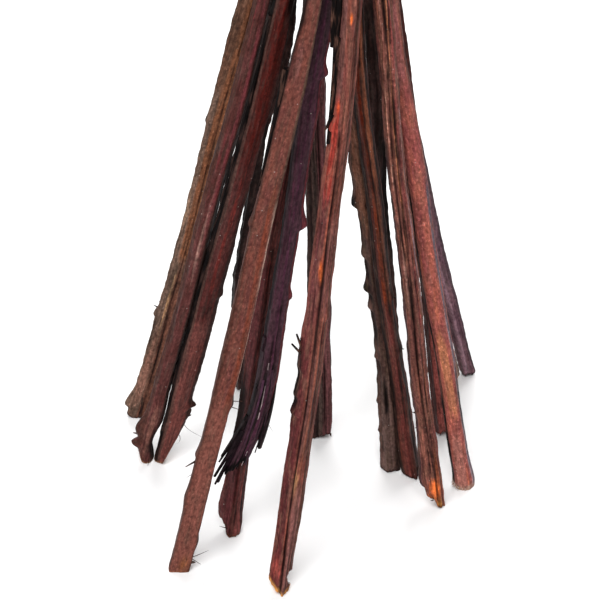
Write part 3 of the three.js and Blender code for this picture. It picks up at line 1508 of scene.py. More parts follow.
def middle_twigs() -> list[Twig]:
    """Lists the five twigs of the middle group.

    Returns:
        The twigs, from the left to the right.
    """
    return [
        Twig(
            "twig_front_left",
            ORANGE_BROWN_RIND,
            Slot.SMOOTH_RIND,
            5,
            ribs=0.15 * MM,
            scabs=0.15 * MM,
            lumps=0.4 * MM,
            foot=End(splinter=0.1 * MM, wood="#7a4a30"),
            bands=(
                Band(-12, 20, "#3c2a26", 0.9, (-1.0, 200 * MM)),
                Band(-24, 17, "#4d382f", 0.85, (185 * MM, 1.0)),
                Band(-36, 4, "#c4a596", 0.8, (95 * MM, 215 * MM)),
                Band(-160, 24, "#43241d", 0.8),
                Band(-60, 16, "#6a3223", 0.6, (80 * MM, 230 * MM)),
                Band(-90, 58, "#6e4037", 0.9, (-1.0, 104 * MM)),
            ),
            patches=(
                Patch(5 * MM, -75, 4 * MM, 2.5 * MM, "#7d4a2a", 0.8),
                Patch(290 * MM, -105, 14 * MM, 3 * MM, "#6c4440", 0.6),
                Patch(96 * MM, 0, 7 * MM, 3 * MM, BLACK),
            ),
            knots=(
                Knot(335 * MM, 178, -4.0 * MM, 38 * MM, 5 * MM),
                Knot(125 * MM, 180, 1.2 * MM, 35 * MM, 5 * MM),
                Knot(84 * MM, 180, -0.9 * MM, 16 * MM, 4 * MM),
                Knot(199 * MM, 178, 1.6 * MM, 6 * MM, 3 * MM, Ledge.BELOW),
                Knot(68 * MM, 180, 1.3 * MM, 5 * MM, 3 * MM, Ledge.BELOW),
                Knot(43 * MM, 180, 1.3 * MM, 6 * MM, 3 * MM),
                Knot(97 * MM, -2, 1.2 * MM, 5 * MM, 3 * MM, Ledge.BELOW),
                Knot(16 * MM, 0, 1.0 * MM, 4 * MM, 3 * MM),
            ),
            slivers=(
                # Painted shade: a black strip on the left side near the top fills the shaded gap
                # beside the twig.
                Sliver(
                    284 * MM,
                    180,
                    (0, 0, -1),
                    64 * MM,
                    4 * MM,
                    5 * MM,
                    colour=BLACK,
                    depth=-0.2 * MM,
                ),
                Sliver(64 * MM, 182, (1, 0, -0.7), 6 * MM, 1.6 * MM, 1.0 * MM, taper=0.6),
                Sliver(56 * MM, 182, (1, 0, -0.2), 4 * MM, 0.4 * MM, 0.4 * MM, (0, 0, -0.7)),
                Sliver(99 * MM, -3, (1, 0, 0.02), 6 * MM, 0.5 * MM, 0.5 * MM, taper=0.4),
                Sliver(96 * MM, -3, (1, 0, -0.3), 6 * MM, 0.5 * MM, 0.5 * MM, taper=0.4),
                Sliver(125 * MM, 182, (0.5, 0, -1), 4 * MM, 0.35 * MM, 0.35 * MM),
                Sliver(7 * MM, -8, (1, 0, 0.5), 9 * MM, 0.5 * MM, 0.5 * MM, (0, 0, 0.1)),
                Sliver(6 * MM, -8, (1, 0, -0.5), 6.5 * MM, 0.45 * MM, 0.45 * MM),
                Sliver(4 * MM, -10, (1, 0, 0.1), 2.5 * MM, 2.2 * MM, 1.6 * MM, colour="#5a4a44"),
            ),
        ),
        Twig(
            "twig_front_left_inner",
            RED_BROWN_WOOD,
            Slot.RIBBED_WOOD,
            6,
            foot=End(
                ((-1, 8 * MM), (-0.5, 6 * MM), (-0.42, 0.4 * MM), (1, 0.0)),
                1.6 * MM,
                "#5d3a28",
                1.2 * MM,
            ),
            bands=(
                Band(-140, 32, "#582b2d"),
                Band(-96, 8, "#35100f", 0.8),
                Band(-45, 26, "#6d3a37", 0.85),
                # Painted shade: black down the right side, where the twig lies in shade.
                Band(-10, 14, BLACK, 0.8),
            ),
            grooves=(Groove(-75, 0.7 * MM, 0.7 * MM), Groove(-50, 0.6 * MM, 0.6 * MM)),
            slivers=(
                Sliver(5 * MM, -115, (0.2, -1, 0.15), 5 * MM, 0.5 * MM, 0.5 * MM),
            ),
            knots=(
                Knot(14 * MM, 180, 2.2 * MM, 13 * MM, 4 * MM),
                Knot(72 * MM, 180, -1.6 * MM, 24 * MM, 5 * MM),
                Knot(2 * MM, -35, 1.4 * MM, 6 * MM, 4 * MM),
            ),
            crooks=(Crook(330 * MM, 50 * MM, (8.5 * MM, 5 * MM)),),
        ),
        Twig(
            "twig_frayed",
            PURPLE_RIND,
            Slot.PURPLE_RIND,
            7,
            ribs=0.3 * MM,
            lumps=0.5 * MM,
            foot=End(((-1.0, 20 * MM), (0.0, 26 * MM), (1.0, 30 * MM)), 9 * MM, BLACK, 5 * MM),
            bands=(
                Band(-12, 18, "#60282d", 0.8),
                # Painted shade: near-black down the left side, where the twig lies in shade.
                Band(-172, 26, "#1c1216", 0.9),
                Band(-80, 12, "#452233", 0.6),
            ),
            grooves=(
                Groove(-55, 1.0 * MM, 0.7 * MM, (60 * MM, 150 * MM)),
                Groove(-90, 0.8 * MM, 0.7 * MM, (60 * MM, 130 * MM)),
                Groove(-120, 0.8 * MM, 0.7 * MM, (60 * MM, 120 * MM)),
            ),
            knots=(
                Knot(274 * MM, -8, 2.6 * MM, 5 * MM, 3 * MM, Ledge.BELOW),
                Knot(296 * MM, -8, 1.7 * MM, 18 * MM, 3 * MM),
                Knot(252 * MM, -5, 1.2 * MM, 22 * MM, 4 * MM),
                Knot(189 * MM, -5, 3.6 * MM, 7 * MM, 3.5 * MM, Ledge.BELOW),
                Knot(148 * MM, -5, 1.4 * MM, 4 * MM, 3 * MM, Ledge.BELOW),
                Knot(100 * MM, 0, 0.9 * MM, 40 * MM, 5 * MM),
            ),
            slivers=frayed_strands(),
        ),
        Twig(
            "twig_middle",
            DARK_BARK,
            Slot.DARK_BARK,
            8,
            ribs=0.9 * MM,
            foot=End(((-1.0, 0.0), (1.0, 4 * MM)), 0.6 * MM, "#3d2520"),
            bands=(
                Band(-40, 36, "#6a3f40", 0.9),
                Band(-2, 16, "#452628", 0.85),
                Band(-100, 16, "#4b3a35", 0.8),
            ),
            grooves=(Groove(-65, 1.2 * MM, 0.8 * MM), Groove(-100, 1.0 * MM, 0.7 * MM)),
            slivers=(
                Sliver(3 * MM, -30, (0.1, 0.2, -1), 2.5 * MM, 1.4 * MM, 1 * MM, colour="#5a3a33"),
            ),
            knots=(
                Knot(86 * MM, 0, 1.2 * MM, 12 * MM, 5 * MM),
                Knot(229 * MM, 0, 0.9 * MM, 22 * MM, 4 * MM),
            ),
            crooks=(Crook(0, 20 * MM, (0, -1.2 * MM)),),
        ),
        Twig(
            "twig_front",
            SPLIT_WOOD,
            Slot.RIBBED_WOOD,
            9,
            ribs=0.6 * MM,
            lumps=0.6 * MM,
            # The sawn foot's gold rim is pale wood with a painted highlight of the light from
            # below.
            foot=End(
                ((-1, 5.5 * MM), (-0.5, 3 * MM), (0.1, 0.0), (0.8, 0.0), (1, 1 * MM)),
                0.6 * MM,
                GOLD,
                2.0 * MM,
            ),
            bands=(
                Band(-150, 34, "#522525", 1.0, (-1.0, 150 * MM)),
                Band(-150, 34, "#613332", 1.0, (140 * MM, 232 * MM)),
                Band(-146, 26, "#92362d", 1.0, (210 * MM, 276 * MM)),
                Band(-150, 34, "#68413d", 1.0, (266 * MM, 1.0)),
                Band(-98, 7, "#45201d", 0.9, (-1.0, 230 * MM)),
                Band(-176, 16, BLACK, 0.9, (90 * MM, 142 * MM)),
                Band(-14, 16, "#4d3029", 0.8),
                Band(-60, 30, "#85514d", 0.9, (150 * MM, 212 * MM)),
                Band(-60, 30, "#563734", 0.9, (70 * MM, 146 * MM)),
                Band(-60, 30, "#764b46", 0.8, (-1.0, 66 * MM)),
                Band(-70, 8, "#8c4e3c", 0.6, (60 * MM, 300 * MM)),
            ),
            patches=(
                Patch(314 * MM, -90, 3.2 * MM, 0.8 * MM, "#d2622a", 0.95),
                Patch(181 * MM, -116, 3.6 * MM, 0.9 * MM, "#d8622a"),
                Patch(177 * MM, -102, 3.2 * MM, 0.8 * MM, "#b5592c", 0.9),
                Patch(266 * MM, -135, 2.6 * MM, 0.8 * MM, "#c8502c", 0.9),
                Patch(64 * MM, -88, 7 * MM, 0.5 * MM, "#b98a5c", 0.7),
                Patch(14 * MM, -150, 5 * MM, 3 * MM, "#96423a"),
            ),
            grooves=(
                Groove(-97, 1.2 * MM, 0.8 * MM, (-1.0, 260 * MM)),
                Groove(-60, 0.7 * MM, 0.6 * MM),
                Groove(-35, 0.6 * MM, 0.6 * MM),
            ),
            knots=(
                Knot(254 * MM, 185, 2.0 * MM, 5 * MM, 3 * MM, Ledge.BELOW),
                Knot(153 * MM, -5, 1.5 * MM, 6 * MM, 3 * MM, Ledge.BELOW),
                Knot(50 * MM, 0, 1.7 * MM, 27 * MM, 5 * MM),
                Knot(140 * MM, 182, 1.6 * MM, 12 * MM, 3 * MM),
                Knot(98 * MM, 180, 0.6 * MM, 34 * MM, 4 * MM),
                Knot(14 * MM, 0, -0.8 * MM, 9 * MM, 5 * MM),
                Knot(126 * MM, 180, 1.3 * MM, 9 * MM, 3 * MM, Ledge.BELOW),
                Knot(110 * MM, 180, 1.6 * MM, 7 * MM, 3 * MM, Ledge.BELOW),
                Knot(100 * MM, 180, 1.3 * MM, 4 * MM, 3 * MM, Ledge.BELOW),
            ),
            slivers=(
                # Painted shade: the first four black strips on the left side near the top fill the
                # dark gap beside the twig.
                Sliver(
                    345 * MM,
                    -174,
                    (0, 0, -1),
                    62 * MM,
                    6 * MM,
                    5 * MM,
                    colour=BLACK,
                    depth=-0.6 * MM,
                    taper=0.65,
                ),
                Sliver(
                    322 * MM,
                    -176,
                    (0.03, 0, -1),
                    25 * MM,
                    3 * MM,
                    6.4 * MM,
                    colour=BLACK,
                    depth=-0.8 * MM,
                    taper=0.4,
                ),
                Sliver(
                    302 * MM, -176, (0, 0, -1), 56 * MM, 3 * MM, 4.2 * MM, colour=BLACK, taper=0.45
                ),
                Sliver(262 * MM, -170, (0.35, 0, -1), 10 * MM, 3 * MM, 2.4 * MM, colour=BLACK),
                Sliver(
                    134 * MM,
                    180,
                    (0.45, 0, 1),
                    10 * MM,
                    1.9 * MM,
                    1.5 * MM,
                    colour=BLACK,
                    taper=0.3,
                ),
                Sliver(
                    132 * MM,
                    184,
                    (0.9, 0, 0.9),
                    9 * MM,
                    1.7 * MM,
                    1.4 * MM,
                    colour=BLACK,
                    taper=0.3,
                ),
                Sliver(
                    133 * MM, 176, (0.2, 0, 1), 8 * MM, 1.2 * MM, 1.2 * MM, colour=BLACK, taper=0.3
                ),
                Sliver(102 * MM, 180, (0.15, 0, -1), 7 * MM, 2 * MM, 1.4 * MM, colour=BLACK),
            ),
            bites=(Bite(7.4 * MM, 0, 3.1 * MM, 5.6 * MM),),
            crooks=(Crook(0, 22 * MM, (0, -2.4 * MM)),),
        ),
    ]


def right_twigs() -> list[Twig]:
    """Lists the eight twigs of the right group.

    Returns:
        The twigs, from the left to the right, and the one at the back.
    """
    return [
        Twig(
            "twig_knotty",
            KNOTTY_BARK,
            Slot.DARK_BARK,
            10,
            scabs=0.5 * MM,
            lumps=0.9 * MM,
            foot=End(((-1.0, 1 * MM), (-0.5, 0.0), (0.0, 1.0 * MM), (1.0, 0.0)), 0.9 * MM, DARK),
            bands=(
                Band(-20, 20, "#33231f", 0.8),
                Band(-110, 40, "#3f2b27", 0.7, (75 * MM, 150 * MM)),
                Band(-120, 46, "#6c4637", 0.85, (150 * MM, 235 * MM)),
                Band(-90, 50, "#5f4842", 0.8, (-1.0, 74 * MM)),
            ),
            patches=(
                Patch(46 * MM, -80, 7 * MM, 1.0 * MM, BLACK),
                Patch(57 * MM, -98, 6 * MM, 1.0 * MM, BLACK),
                Patch(203 * MM, -85, 6 * MM, 0.9 * MM, BLACK),
                Patch(176 * MM, -80, 3 * MM, 1.2 * MM, BLACK),
                Patch(120 * MM, 188, 5 * MM, 3 * MM, BLACK),
                Patch(176 * MM, 186, 5 * MM, 2 * MM, BLACK),
            ),
            knots=(
                Knot(199 * MM, 180, 1.7 * MM, 18 * MM, 4 * MM),
                Knot(110 * MM, 180, -1.0 * MM, 60 * MM, 5 * MM),
                Knot(218 * MM, 180, 1.6 * MM, 5 * MM, 3.5 * MM, Ledge.BELOW),
                Knot(174 * MM, 182, 2.4 * MM, 7 * MM, 3.5 * MM, Ledge.BELOW),
                Knot(142 * MM, 180, 1.8 * MM, 5 * MM, 3.5 * MM, Ledge.BELOW),
                Knot(120 * MM, 184, 2.6 * MM, 6 * MM, 4 * MM, Ledge.BELOW),
                Knot(20 * MM, 0, 1.4 * MM, 28 * MM, 5 * MM),
                Knot(108 * MM, 180, 1.6 * MM, 4 * MM, 3.5 * MM, Ledge.BELOW),
                Knot(76 * MM, 182, 1.0 * MM, 3 * MM, 3 * MM, Ledge.BELOW),
                Knot(46 * MM, 182, 1.0 * MM, 3 * MM, 3 * MM, Ledge.BELOW),
                Knot(26 * MM, 182, 1.0 * MM, 3 * MM, 3 * MM, Ledge.BELOW),
                Knot(48 * MM, -85, -1.6 * MM, 9 * MM, 1.2 * MM),
            ),
            slivers=(
                Sliver(199 * MM, 182, (1, 0, 0.5), 4 * MM, 0.45 * MM, 0.45 * MM, (0, 0, 0.4)),
            ),
        ),
        Twig(
            "twig_right_inner",
            RUSSET_WOOD,
            Slot.RED_RIND,
            11,
            foot=End(((-1.0, 1 * MM), (0.0, 0.5 * MM), (1.0, 3 * MM)), 0.8 * MM, DARK),
            bands=(
                Band(-110, 17, "#6e2e1a", 0.95, (110 * MM, 200 * MM)),
                Band(-110, 17, "#541806", 0.95, (190 * MM, 1.0)),
                Band(-76, 14, "#6b4031", 0.85, (110 * MM, 200 * MM)),
                Band(-66, 22, "#89503a", 0.9, (190 * MM, 1.0)),
                # Painted shade: near-black down both sides, where the twig lies in shade.
                Band(-20, 32, "#1d100e", 0.9),
                Band(-176, 26, "#1d100e", 0.8),
                Band(-105, 28, "#622f2a", 0.85, (-1.0, 120 * MM)),
            ),
            grooves=(Groove(-85, 0.9 * MM, 0.7 * MM),),
            knots=(
                Knot(176 * MM, 0, 0.7 * MM, 22 * MM, 4 * MM),
                Knot(18 * MM, 180, 2.0 * MM, 28 * MM, 5 * MM),
                Knot(121 * MM, -5, 1.2 * MM, 4 * MM, 3 * MM, Ledge.BELOW),
                Knot(85 * MM, -5, 1.2 * MM, 4 * MM, 3 * MM, Ledge.BELOW),
            ),
            slivers=(
                Sliver(121 * MM, -5, (1, 0, -0.3), 2.5 * MM, 1.6 * MM, 1.2 * MM, colour=BLACK),
                Sliver(86 * MM, -5, (1, 0, -0.3), 2.5 * MM, 1.6 * MM, 1.2 * MM, colour=BLACK),
                Sliver(5 * MM, -15, (1, -0.1, -0.2), 3.4 * MM, 3 * MM, 2 * MM, colour="#40302c"),
            ),
            crooks=(Crook(0, 20 * MM, (0.8 * MM, -3 * MM)),),
        ),
        Twig(
            "twig_right_ribbed",
            RIBBED_BARK,
            Slot.RIBBED_WOOD,
            12,
            ribs=0.8 * MM,
            scabs=0.5 * MM,
            foot=End(
                (
                    (-1.0, 12 * MM),
                    (-0.92, 8 * MM),
                    (-0.6, 7.4 * MM),
                    (0.0, 5.4 * MM),
                    (0.2, 1.5 * MM),
                    (1.0, 0.0),
                ),
                1.2 * MM,
                "#7d4526",
                1.6 * MM,
            ),
            bands=(
                Band(-172, 22, "#452c2d", 0.9, (-1.0, 240 * MM)),
                Band(-172, 22, "#683c37", 0.9, (235 * MM, 1.0)),
                Band(-90, 40, "#623933", 0.9, (84 * MM, 165 * MM)),
                Band(-72, 6, "#a9694a", 0.7, (180 * MM, 330 * MM)),
                Band(-44, 15, "#763a36", 0.75, (90 * MM, 1.0)),
                Band(-30, 20, "#6a3a35", 0.8, (-1.0, 95 * MM)),
                Band(-16, 7, "#8a7076", 0.6, (90 * MM, 260 * MM)),
                Band(-112, 6, "#b58c7c", 0.25, (120 * MM, 330 * MM)),
            ),
            patches=(
                Patch(13 * MM, -80, 6 * MM, 2.8 * MM, "#ff7f3d"),
                Patch(2 * MM, -60, 3.5 * MM, 1.6 * MM, "#c0833e"),
                Patch(28 * MM, -50, 12 * MM, 1.4 * MM, "#8f4a30", 0.8),
            ),
            grooves=(
                Groove(-100, 0.8 * MM, 0.6 * MM),
                Groove(-80, 0.8 * MM, 0.6 * MM),
                Groove(-55, 0.7 * MM, 0.6 * MM),
            ),
            slivers=(
                Sliver(60 * MM, 183, (1, 0, 0.2), 1.6 * MM, 1 * MM, 1 * MM, colour=BLACK),
                Sliver(50 * MM, 183, (1, 0, 0.1), 1.4 * MM, 1 * MM, 1 * MM, colour=BLACK),
                Sliver(6 * MM, -105, (0.1, -1, -0.3), 1.6 * MM, 0.8 * MM, 0.6 * MM),
            ),
            knots=(
                Knot(28 * MM, 180, 1.2 * MM, 16 * MM, 4 * MM),
                Knot(11 * MM, 180, 2.4 * MM, 13 * MM, 4 * MM),
                Knot(180 * MM, 180, -0.6 * MM, 50 * MM, 4 * MM),
            ),
            crooks=(Crook(0, 20 * MM, (0.2 * MM, -2 * MM)),),
        ),
        Twig(
            "twig_right_back",
            DEEP_RED_RIND,
            Slot.RED_RIND,
            13,
            foot=End(((-1.0, 2 * MM), (0.0, 5 * MM), (1.0, 3 * MM)), 2.5 * MM, "#5a2c28"),
            bands=(Band(-90, 36, "#85433d", 0.9),),
            slivers=(
                Sliver(3 * MM, -110, (0, -0.3, -1), 3 * MM, 0.6 * MM, 0.5 * MM),
                Sliver(4 * MM, -60, (0.3, 0.4, -1), 4 * MM, 0.5 * MM, 0.4 * MM),
            ),
        ),
        Twig(
            "twig_right",
            ORANGE_RIND,
            Slot.SMOOTH_RIND,
            14,
            ribs=0.2 * MM,
            scabs=0.2 * MM,
            lumps=0.35 * MM,
            foot=End(
                ((-1.0, 4 * MM), (-0.7, 1.2 * MM), (0.0, 0.0), (0.8, 0.0), (1.0, 0.5 * MM)),
                0.6 * MM,
                "#8f7264",
                3 * MM,
            ),
            bands=(
                # Painted shade: the left side black, and dark brown higher up, for the shade on
                # that side.
                Band(180, 31, BLACK, 1.0, (-1.0, 212 * MM)),
                Band(-180, 20, "#502a25", 0.8, (205 * MM, 1.0)),
                Band(-90, 28, "#a6684b", 0.8, (42 * MM, 110 * MM)),
                Band(-95, 30, "#986056", 0.9, (-1.0, 45 * MM)),
                Band(-90, 36, "#975a57", 0.8, (250 * MM, 1.0)),
                Band(-16, 14, "#5d5058", 0.85, (-1.0, 205 * MM)),
                Band(-10, 12, "#6d4a44", 0.7, (195 * MM, 1.0)),
                Band(-30, 5, "#b09ca0", 0.35, (-1.0, 120 * MM)),
            ),
            knots=(
                Knot(280 * MM, 0, -0.7 * MM, 40 * MM, 5 * MM),
                Knot(54 * MM, 0, -0.9 * MM, 22 * MM, 5 * MM),
                Knot(5 * MM, 0, 1.5 * MM, 9 * MM, 5 * MM),
                Knot(10 * MM, 180, -0.9 * MM, 14 * MM, 5 * MM),
            ),
            slivers=end_fuzz(),
        ),
        Twig(
            "twig_far_right",
            PLUM_RIND,
            Slot.PURPLE_RIND,
            15,
            foot=End(
                ((-1, 3 * MM), (-0.5, 0.0), (0, 3 * MM), (0.5, 0.0), (1, 2 * MM)), 1.5 * MM, DARK
            ),
            bands=(Band(-12, 14, "#4a383f", 0.8), Band(-96, 24, "#8b6a74", 0.7)),
            knots=(Knot(24 * MM, 0, -0.6 * MM, 20 * MM, 5 * MM),),
        ),
        Twig(
            "twig_far_right_back",
            PALE_BARK,
            Slot.GREY_BARK,
            16,
            foot=End(((-1.0, 0.0), (1.0, 4 * MM)), 1.0 * MM),
            bands=(Band(-90, 50, "#a69482", 0.8),),
        ),
        Twig(
            "twig_back",
            DARK_BARK,
            Slot.DARK_BARK,
            17,
            ribs=0.8 * MM,
            lumps=1.0 * MM,
            knots=(Knot(175 * MM, 0, -1.6 * MM, 40 * MM, 5 * MM),),
        ),
    ]


def frayed_strands() -> tuple[Sliver, ...]:
    """Lists the strands that the frayed twig's end has come apart in.

    Returns:
        The strands, from the left to the right, then black strips of painted shade and the
        loose hairs.
    """
    # Strands coloured BLACK are painted shade: dark gaps deep among the lit strands.
    strands = (
        # height, bearing, lean, length, width, curl to the side, colour; in millimetres
        (126, -170, -0.16, 42, 4.4, 0.1, "#2b1b22"),
        (118, -160, -0.13, 44, 4.0, 0.07, "#35232b"),
        (112, -152, -0.10, 46, 3.0, 0.05, "#241619"),
        (98, -172, -0.02, 58, 3.2, -0.02, BLACK),
        (96, -158, -0.02, 57, 2.8, -0.05, "#1d1217"),
        (108, -146, -0.04, 60, 1.6, -0.03, "#33222a"),
        (100, -128, -0.05, 50, 1.8, 0.0, "#3d2833"),
        (102, -118, 0.0, 48, 2.0, 0.01, "#45293a"),
        (106, -108, 0.02, 56, 1.6, 0.01, BLACK),
        (112, -100, 0.03, 60, 0.8, 0.02, "#b8a3a5"),
        (108, -95, 0.05, 56, 1.8, 0.03, "#3a2630"),
        (110, -85, 0.05, 52, 1.7, 0.03, "#2d1d24"),
        (116, -78, 0.05, 34, 1.0, 0.03, "#a8825c"),
        (112, -72, 0.07, 54, 1.6, 0.04, BLACK),
        (108, -62, 0.08, 46, 1.8, 0.05, "#3b2530"),
        (112, -52, 0.08, 46, 1.5, 0.05, "#241619"),
        (116, -40, 0.10, 46, 1.6, 0.06, "#33212a"),
        (112, -30, 0.11, 48, 2.2, 0.09, "#35222b"),
        (114, -18, 0.12, 48, 3.4, 0.06, "#2a1a20"),
        (104, 0, 0.0, 36, 3.0, 0.03, BLACK),
    )
    made = [
        Sliver(
            height * MM,
            bearing,
            (0.0, lean, -1.0),
            length * MM,
            width * MM,
            0.6 * width * MM,
            (0.0, aside, 0.0),
            colour,
            depth=0.7 * MM,
            taper=0.55,
        )
        for height, bearing, lean, length, width, aside, colour in strands
    ]
    hair = 0.35 * MM
    # The wide black and near-black strips are painted shade where the frayed end lies in deep
    # shade; the last three are hairs.
    made += [
        Sliver(74 * MM, 182, (0.02, 0, -1), 34 * MM, 3.6 * MM, 2.6 * MM, colour=BLACK, taper=0.3),
        Sliver(68 * MM, 172, (0.14, 0, -1), 26 * MM, 2.8 * MM, 2.4 * MM, colour=BLACK, taper=0.3),
        Sliver(70 * MM, -160, (0.1, 0, -1), 30 * MM, 2.6 * MM, 2 * MM, colour="#1d1217", taper=0.4),
        Sliver(98 * MM, -6, (0.1, 0, -1), 38 * MM, 3.2 * MM, 2.6 * MM, colour=BLACK, taper=0.2),
        Sliver(76 * MM, 178, (0.24, 0, -1), 22 * MM, 5 * MM, 4 * MM, colour=BLACK, taper=0.7),
        Sliver(71 * MM, -172, (0.16, 0, -1), 22 * MM, 5 * MM, 4 * MM, colour="#1d1217", taper=0.7),
        Sliver(79 * MM, 180, (0.18, 0, -1), 28 * MM, 3 * MM, 3 * MM, colour=BLACK, taper=0.6),
        Sliver(76 * MM, -10, (0.2, 0, -1), 15 * MM, 3 * MM, 2.4 * MM, colour="#1d1217", taper=0.3),
        Sliver(70 * MM, -18, (0.4, 0, -1), 9 * MM, 2 * MM, 1.6 * MM, colour=BLACK, taper=0.5),
        Sliver(78 * MM, -15, (1, 0, -1), 10 * MM, hair, hair),
        Sliver(88 * MM, 180, (0.5, 0, -1), 16 * MM, hair, hair, (-0.3, 0, 0)),
        Sliver(150 * MM, 182, (1, 0, 0.2), 3 * MM, hair, hair),
    ]
    return tuple(made)


def end_fuzz() -> tuple[Sliver, ...]:
    """Lists the short pale fibres that stand out round a sawn end.

    Returns:
        The fibres, spread round the front half of the end.
    """
    return tuple(
        Sliver(
            (1.2 + 2.6 * (index * 0.618 % 1)) * MM,
            -175 + 170 * (index * 0.382 % 1),
            (0.25 + 0.3 * (index * 0.27 % 1), 0.8 * (index * 0.73 % 1) - 0.4, -0.8),
            (1.6 + 1.6 * (index * 0.45 % 1)) * MM,
            0.4 * MM,
            0.4 * MM,
            colour=(PALE, FIBRE, "#d8ccc4")[index % 3],
            depth=0.6 * MM,
        )
        for index in range(44)
    )


# --- Binding ---------------------------------------------------------------------------


@dataclass
class Binding:
    """The twine wound round the twigs and knotted at the front."""

    twine: float = 3 * MM  # thickness
    plies: int = 3
    ply_radius: float = 0.27  # this and the next are shares of the twine's thickness
    ply_offset: float = 0.25  # from the twine's middle to a ply's middle
    lay: float = 8 * MM  # length in which a ply goes once round the twine
    step: float = 1 * MM
    end: float = 21 * MM  # length of each cut end below the knot

    def build(self) -> bpy.types.Object:
        """Winds the twine over the part's binding and knots it.

        Returns:
            The finished binding.
        """
        low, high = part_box("twine_binding")
        middle = (low + high) / 2
        radius = (high.x - low.x - self.twine) / 2
        turns = round((high.z - low.z) / self.twine)
        angles = np.arange(0, (turns - 1) * 2 * math.pi, self.step / radius)
        rise = (high.z - low.z - self.twine) / angles[-1]
        route = np.stack(
            [
                middle.x + radius * np.sin(angles),
                middle.y - radius * np.cos(angles),
                low.z + self.twine / 2 + rise * angles,
            ],
            1,
        )
        binding = self.twisted(route, "twine_binding_wound")
        place = np.array([middle.x, middle.y - radius - 1.3 * self.twine, middle.z])
        knot = self.twisted(place + self.knot_route(), "twine_knot")
        select_only(binding)
        knot.select_set(True)
        bpy.ops.object.join()
        binding.data.materials.append(Twine().material())
        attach(binding, "root")
        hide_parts("twine_binding")
        return binding

    def knot_route(self) -> np.ndarray:
        """Follows the twine through an overhand knot, from one hanging end to the other.

        Returns:
            The route's points, about the knot's middle.
        """
        turn = np.linspace(0.35, 2 * math.pi - 0.35, 90)
        loop = 0.62 * self.twine
        knot = np.stack(
            [
                loop * (np.sin(turn) + 2 * np.sin(2 * turn)),
                -0.5 * self.twine * np.sin(3 * turn),
                -loop * (np.cos(turn) - 2 * np.cos(2 * turn)),
            ],
            1,
        )
        run = np.linspace(self.end, 0, 24)[:, None]
        first = knot[0] + run * (0.34, -0.1, -0.93)
        last = knot[-1] + run[::-1] * (-0.5, -0.16, -0.85)
        return np.concatenate([first[:-1], knot, last[1:]])

    def twisted(self, route: np.ndarray, name: str) -> bpy.types.Object:
        """Lays up twine of several plies along a route.

        Args:
            route: The points that the twine follows.
            name: The piece's name.

        Returns:
            The twine as one mesh.
        """
        along = np.gradient(route, axis=0)
        step = np.linalg.norm(along, axis=1)
        along = along / step[:, None]
        run = np.cumsum(step)
        outward = np.cross(along, (0.0, 0.0, 1.0))
        outward = outward / np.linalg.norm(outward, axis=1)[:, None]
        upward = np.cross(outward, along)
        curve = bpy.data.curves.new(name, "CURVE")
        curve.dimensions = "3D"
        curve.bevel_depth = self.twine * self.ply_radius
        curve.bevel_resolution = 1
        curve.use_fill_caps = True
        for ply in range(self.plies):
            turn = 2 * math.pi * (run / self.lay + ply / self.plies)
            offset = np.cos(turn)[:, None] * outward + np.sin(turn)[:, None] * upward
            points = route + offset * self.twine * self.ply_offset
            spline = curve.splines.new("POLY")
            spline.points.add(len(points) - 1)
            spline.points.foreach_set("co", np.column_stack([points, np.ones(len(points))]).ravel())
        wound = bpy.data.objects.new(name, curve)
        bpy.context.collection.objects.link(wound)
        select_only(wound)
        bpy.ops.object.convert(target="MESH")
        bpy.ops.object.shade_smooth()
        return bpy.context.active_object


# --- Studio ----------------------------------------------------------------------------


@dataclass(frozen=True)
class Softbox:
    """A square soft light."""

    name: str
    place: tuple[float, float, float]
    size: float
    power: float


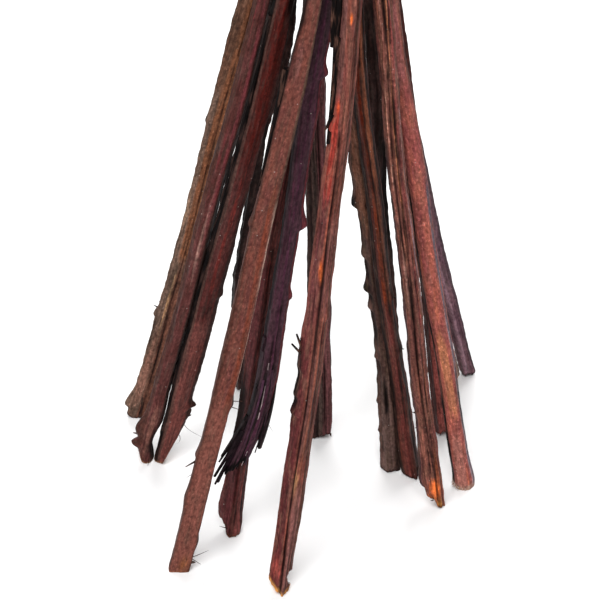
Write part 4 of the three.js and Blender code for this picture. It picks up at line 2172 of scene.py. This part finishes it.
@dataclass
class Studio:
    """The pale floor, the soft light and the camera."""

    floor_radius: float = 12.0
    surround: float = 0.3  # strength of the even light from all round
    softboxes: tuple[Softbox, ...] = (
        Softbox("front_softbox", (-1.0, -3.2, 5.6), 4.4, 400.0),
        Softbox("back_softbox", (0.6, 4.6, 5.0), 5.0, 420.0),
    )
    lit: tuple[float, float, float] = (0.0, 0.0, 0.2)  # what the softboxes point at
    camera_height: float = 34.0  # in degrees above the floor, seen from the twigs
    camera_distance: float = 2.0
    lens: float = 218.2
    sensor_width: float = 36.0
    aim: tuple[float, float, float] = (-1.8 * MM, 9.6 * MM, 113.8 * MM)

    def build(self) -> None:
        """Makes the floor, the lights and the camera."""
        self.lay_floor()
        self.light()
        self.place_camera()

    def lay_floor(self) -> None:
        """Lays a plain matt white floor."""
        bpy.ops.object.select_all(action="DESELECT")
        bpy.ops.mesh.primitive_circle_add(
            vertices=64, radius=self.floor_radius, fill_type="NGON", location=(0, 0, 0)
        )
        floor = bpy.context.active_object
        floor.name = "floor"
        material = bpy.data.materials.new("matt_white_board")
        material.use_nodes = True
        shader = material.node_tree.nodes["Principled BSDF"]
        shader.inputs["Base Color"].default_value = to_linear("#fafafa")
        shader.inputs["Roughness"].default_value = 0.95
        shader.inputs["Specular IOR Level"].default_value = 0.1
        floor.data.materials.append(material)

    def light(self) -> None:
        """Sets an even surround, a broad soft light in front and one behind, for the floor."""
        scene = bpy.context.scene
        scene.view_settings.view_transform = "Standard"
        world = bpy.data.worlds.new("surround")
        world.use_nodes = True
        background = world.node_tree.nodes["Background"]
        background.inputs["Color"].default_value = (1.0, 1.0, 1.0, 1.0)
        background.inputs["Strength"].default_value = self.surround
        scene.world = world
        for softbox in self.softboxes:
            lamp = bpy.data.lights.new(softbox.name, "AREA")
            lamp.size = softbox.size
            lamp.energy = softbox.power
            holder = bpy.data.objects.new(softbox.name, lamp)
            bpy.context.collection.objects.link(holder)
            holder.location = softbox.place
            aim = Vector(self.lit) - holder.location
            holder.rotation_euler = aim.to_track_quat("-Z", "Y").to_euler()
            holder.visible_camera = False

    def place_camera(self) -> None:
        """Places the camera in front, looking down on the lower half of the bundle."""
        camera = bpy.data.objects.new("camera", bpy.data.cameras.new("camera"))
        bpy.context.collection.objects.link(camera)
        height = math.radians(self.camera_height)
        back = Vector((0, -math.cos(height), math.sin(height)))
        camera.location = Vector(self.aim) + back * self.camera_distance
        camera.rotation_euler = (-back).to_track_quat("-Z", "Y").to_euler()
        camera.data.lens = self.lens
        camera.data.sensor_width = self.sensor_width
        camera.data.clip_end = 60
        bpy.context.scene.camera = camera


# --- The whole bundle ------------------------------------------------------------------


def main() -> None:
    """Builds the bundle round the part's frame, and its studio."""
    logging.basicConfig(level=logging.INFO, format="%(name)s: %(message)s")
    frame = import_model()
    Studio().build()
    stick = Stick()
    stock = SliverStock()
    for twig in (*left_twigs(), *middle_twigs(), *right_twigs()):
        made = twig.build(frame["nodes"][twig.node], stick, stock)
        LOG.info("%s: %d faces", made.name, len(made.data.polygons))
    stick.remove()
    stock.remove()
    binding = Binding().build()
    LOG.info("%s: %d faces", binding.name, len(binding.data.polygons))


if __name__ == "__main__":
    main()
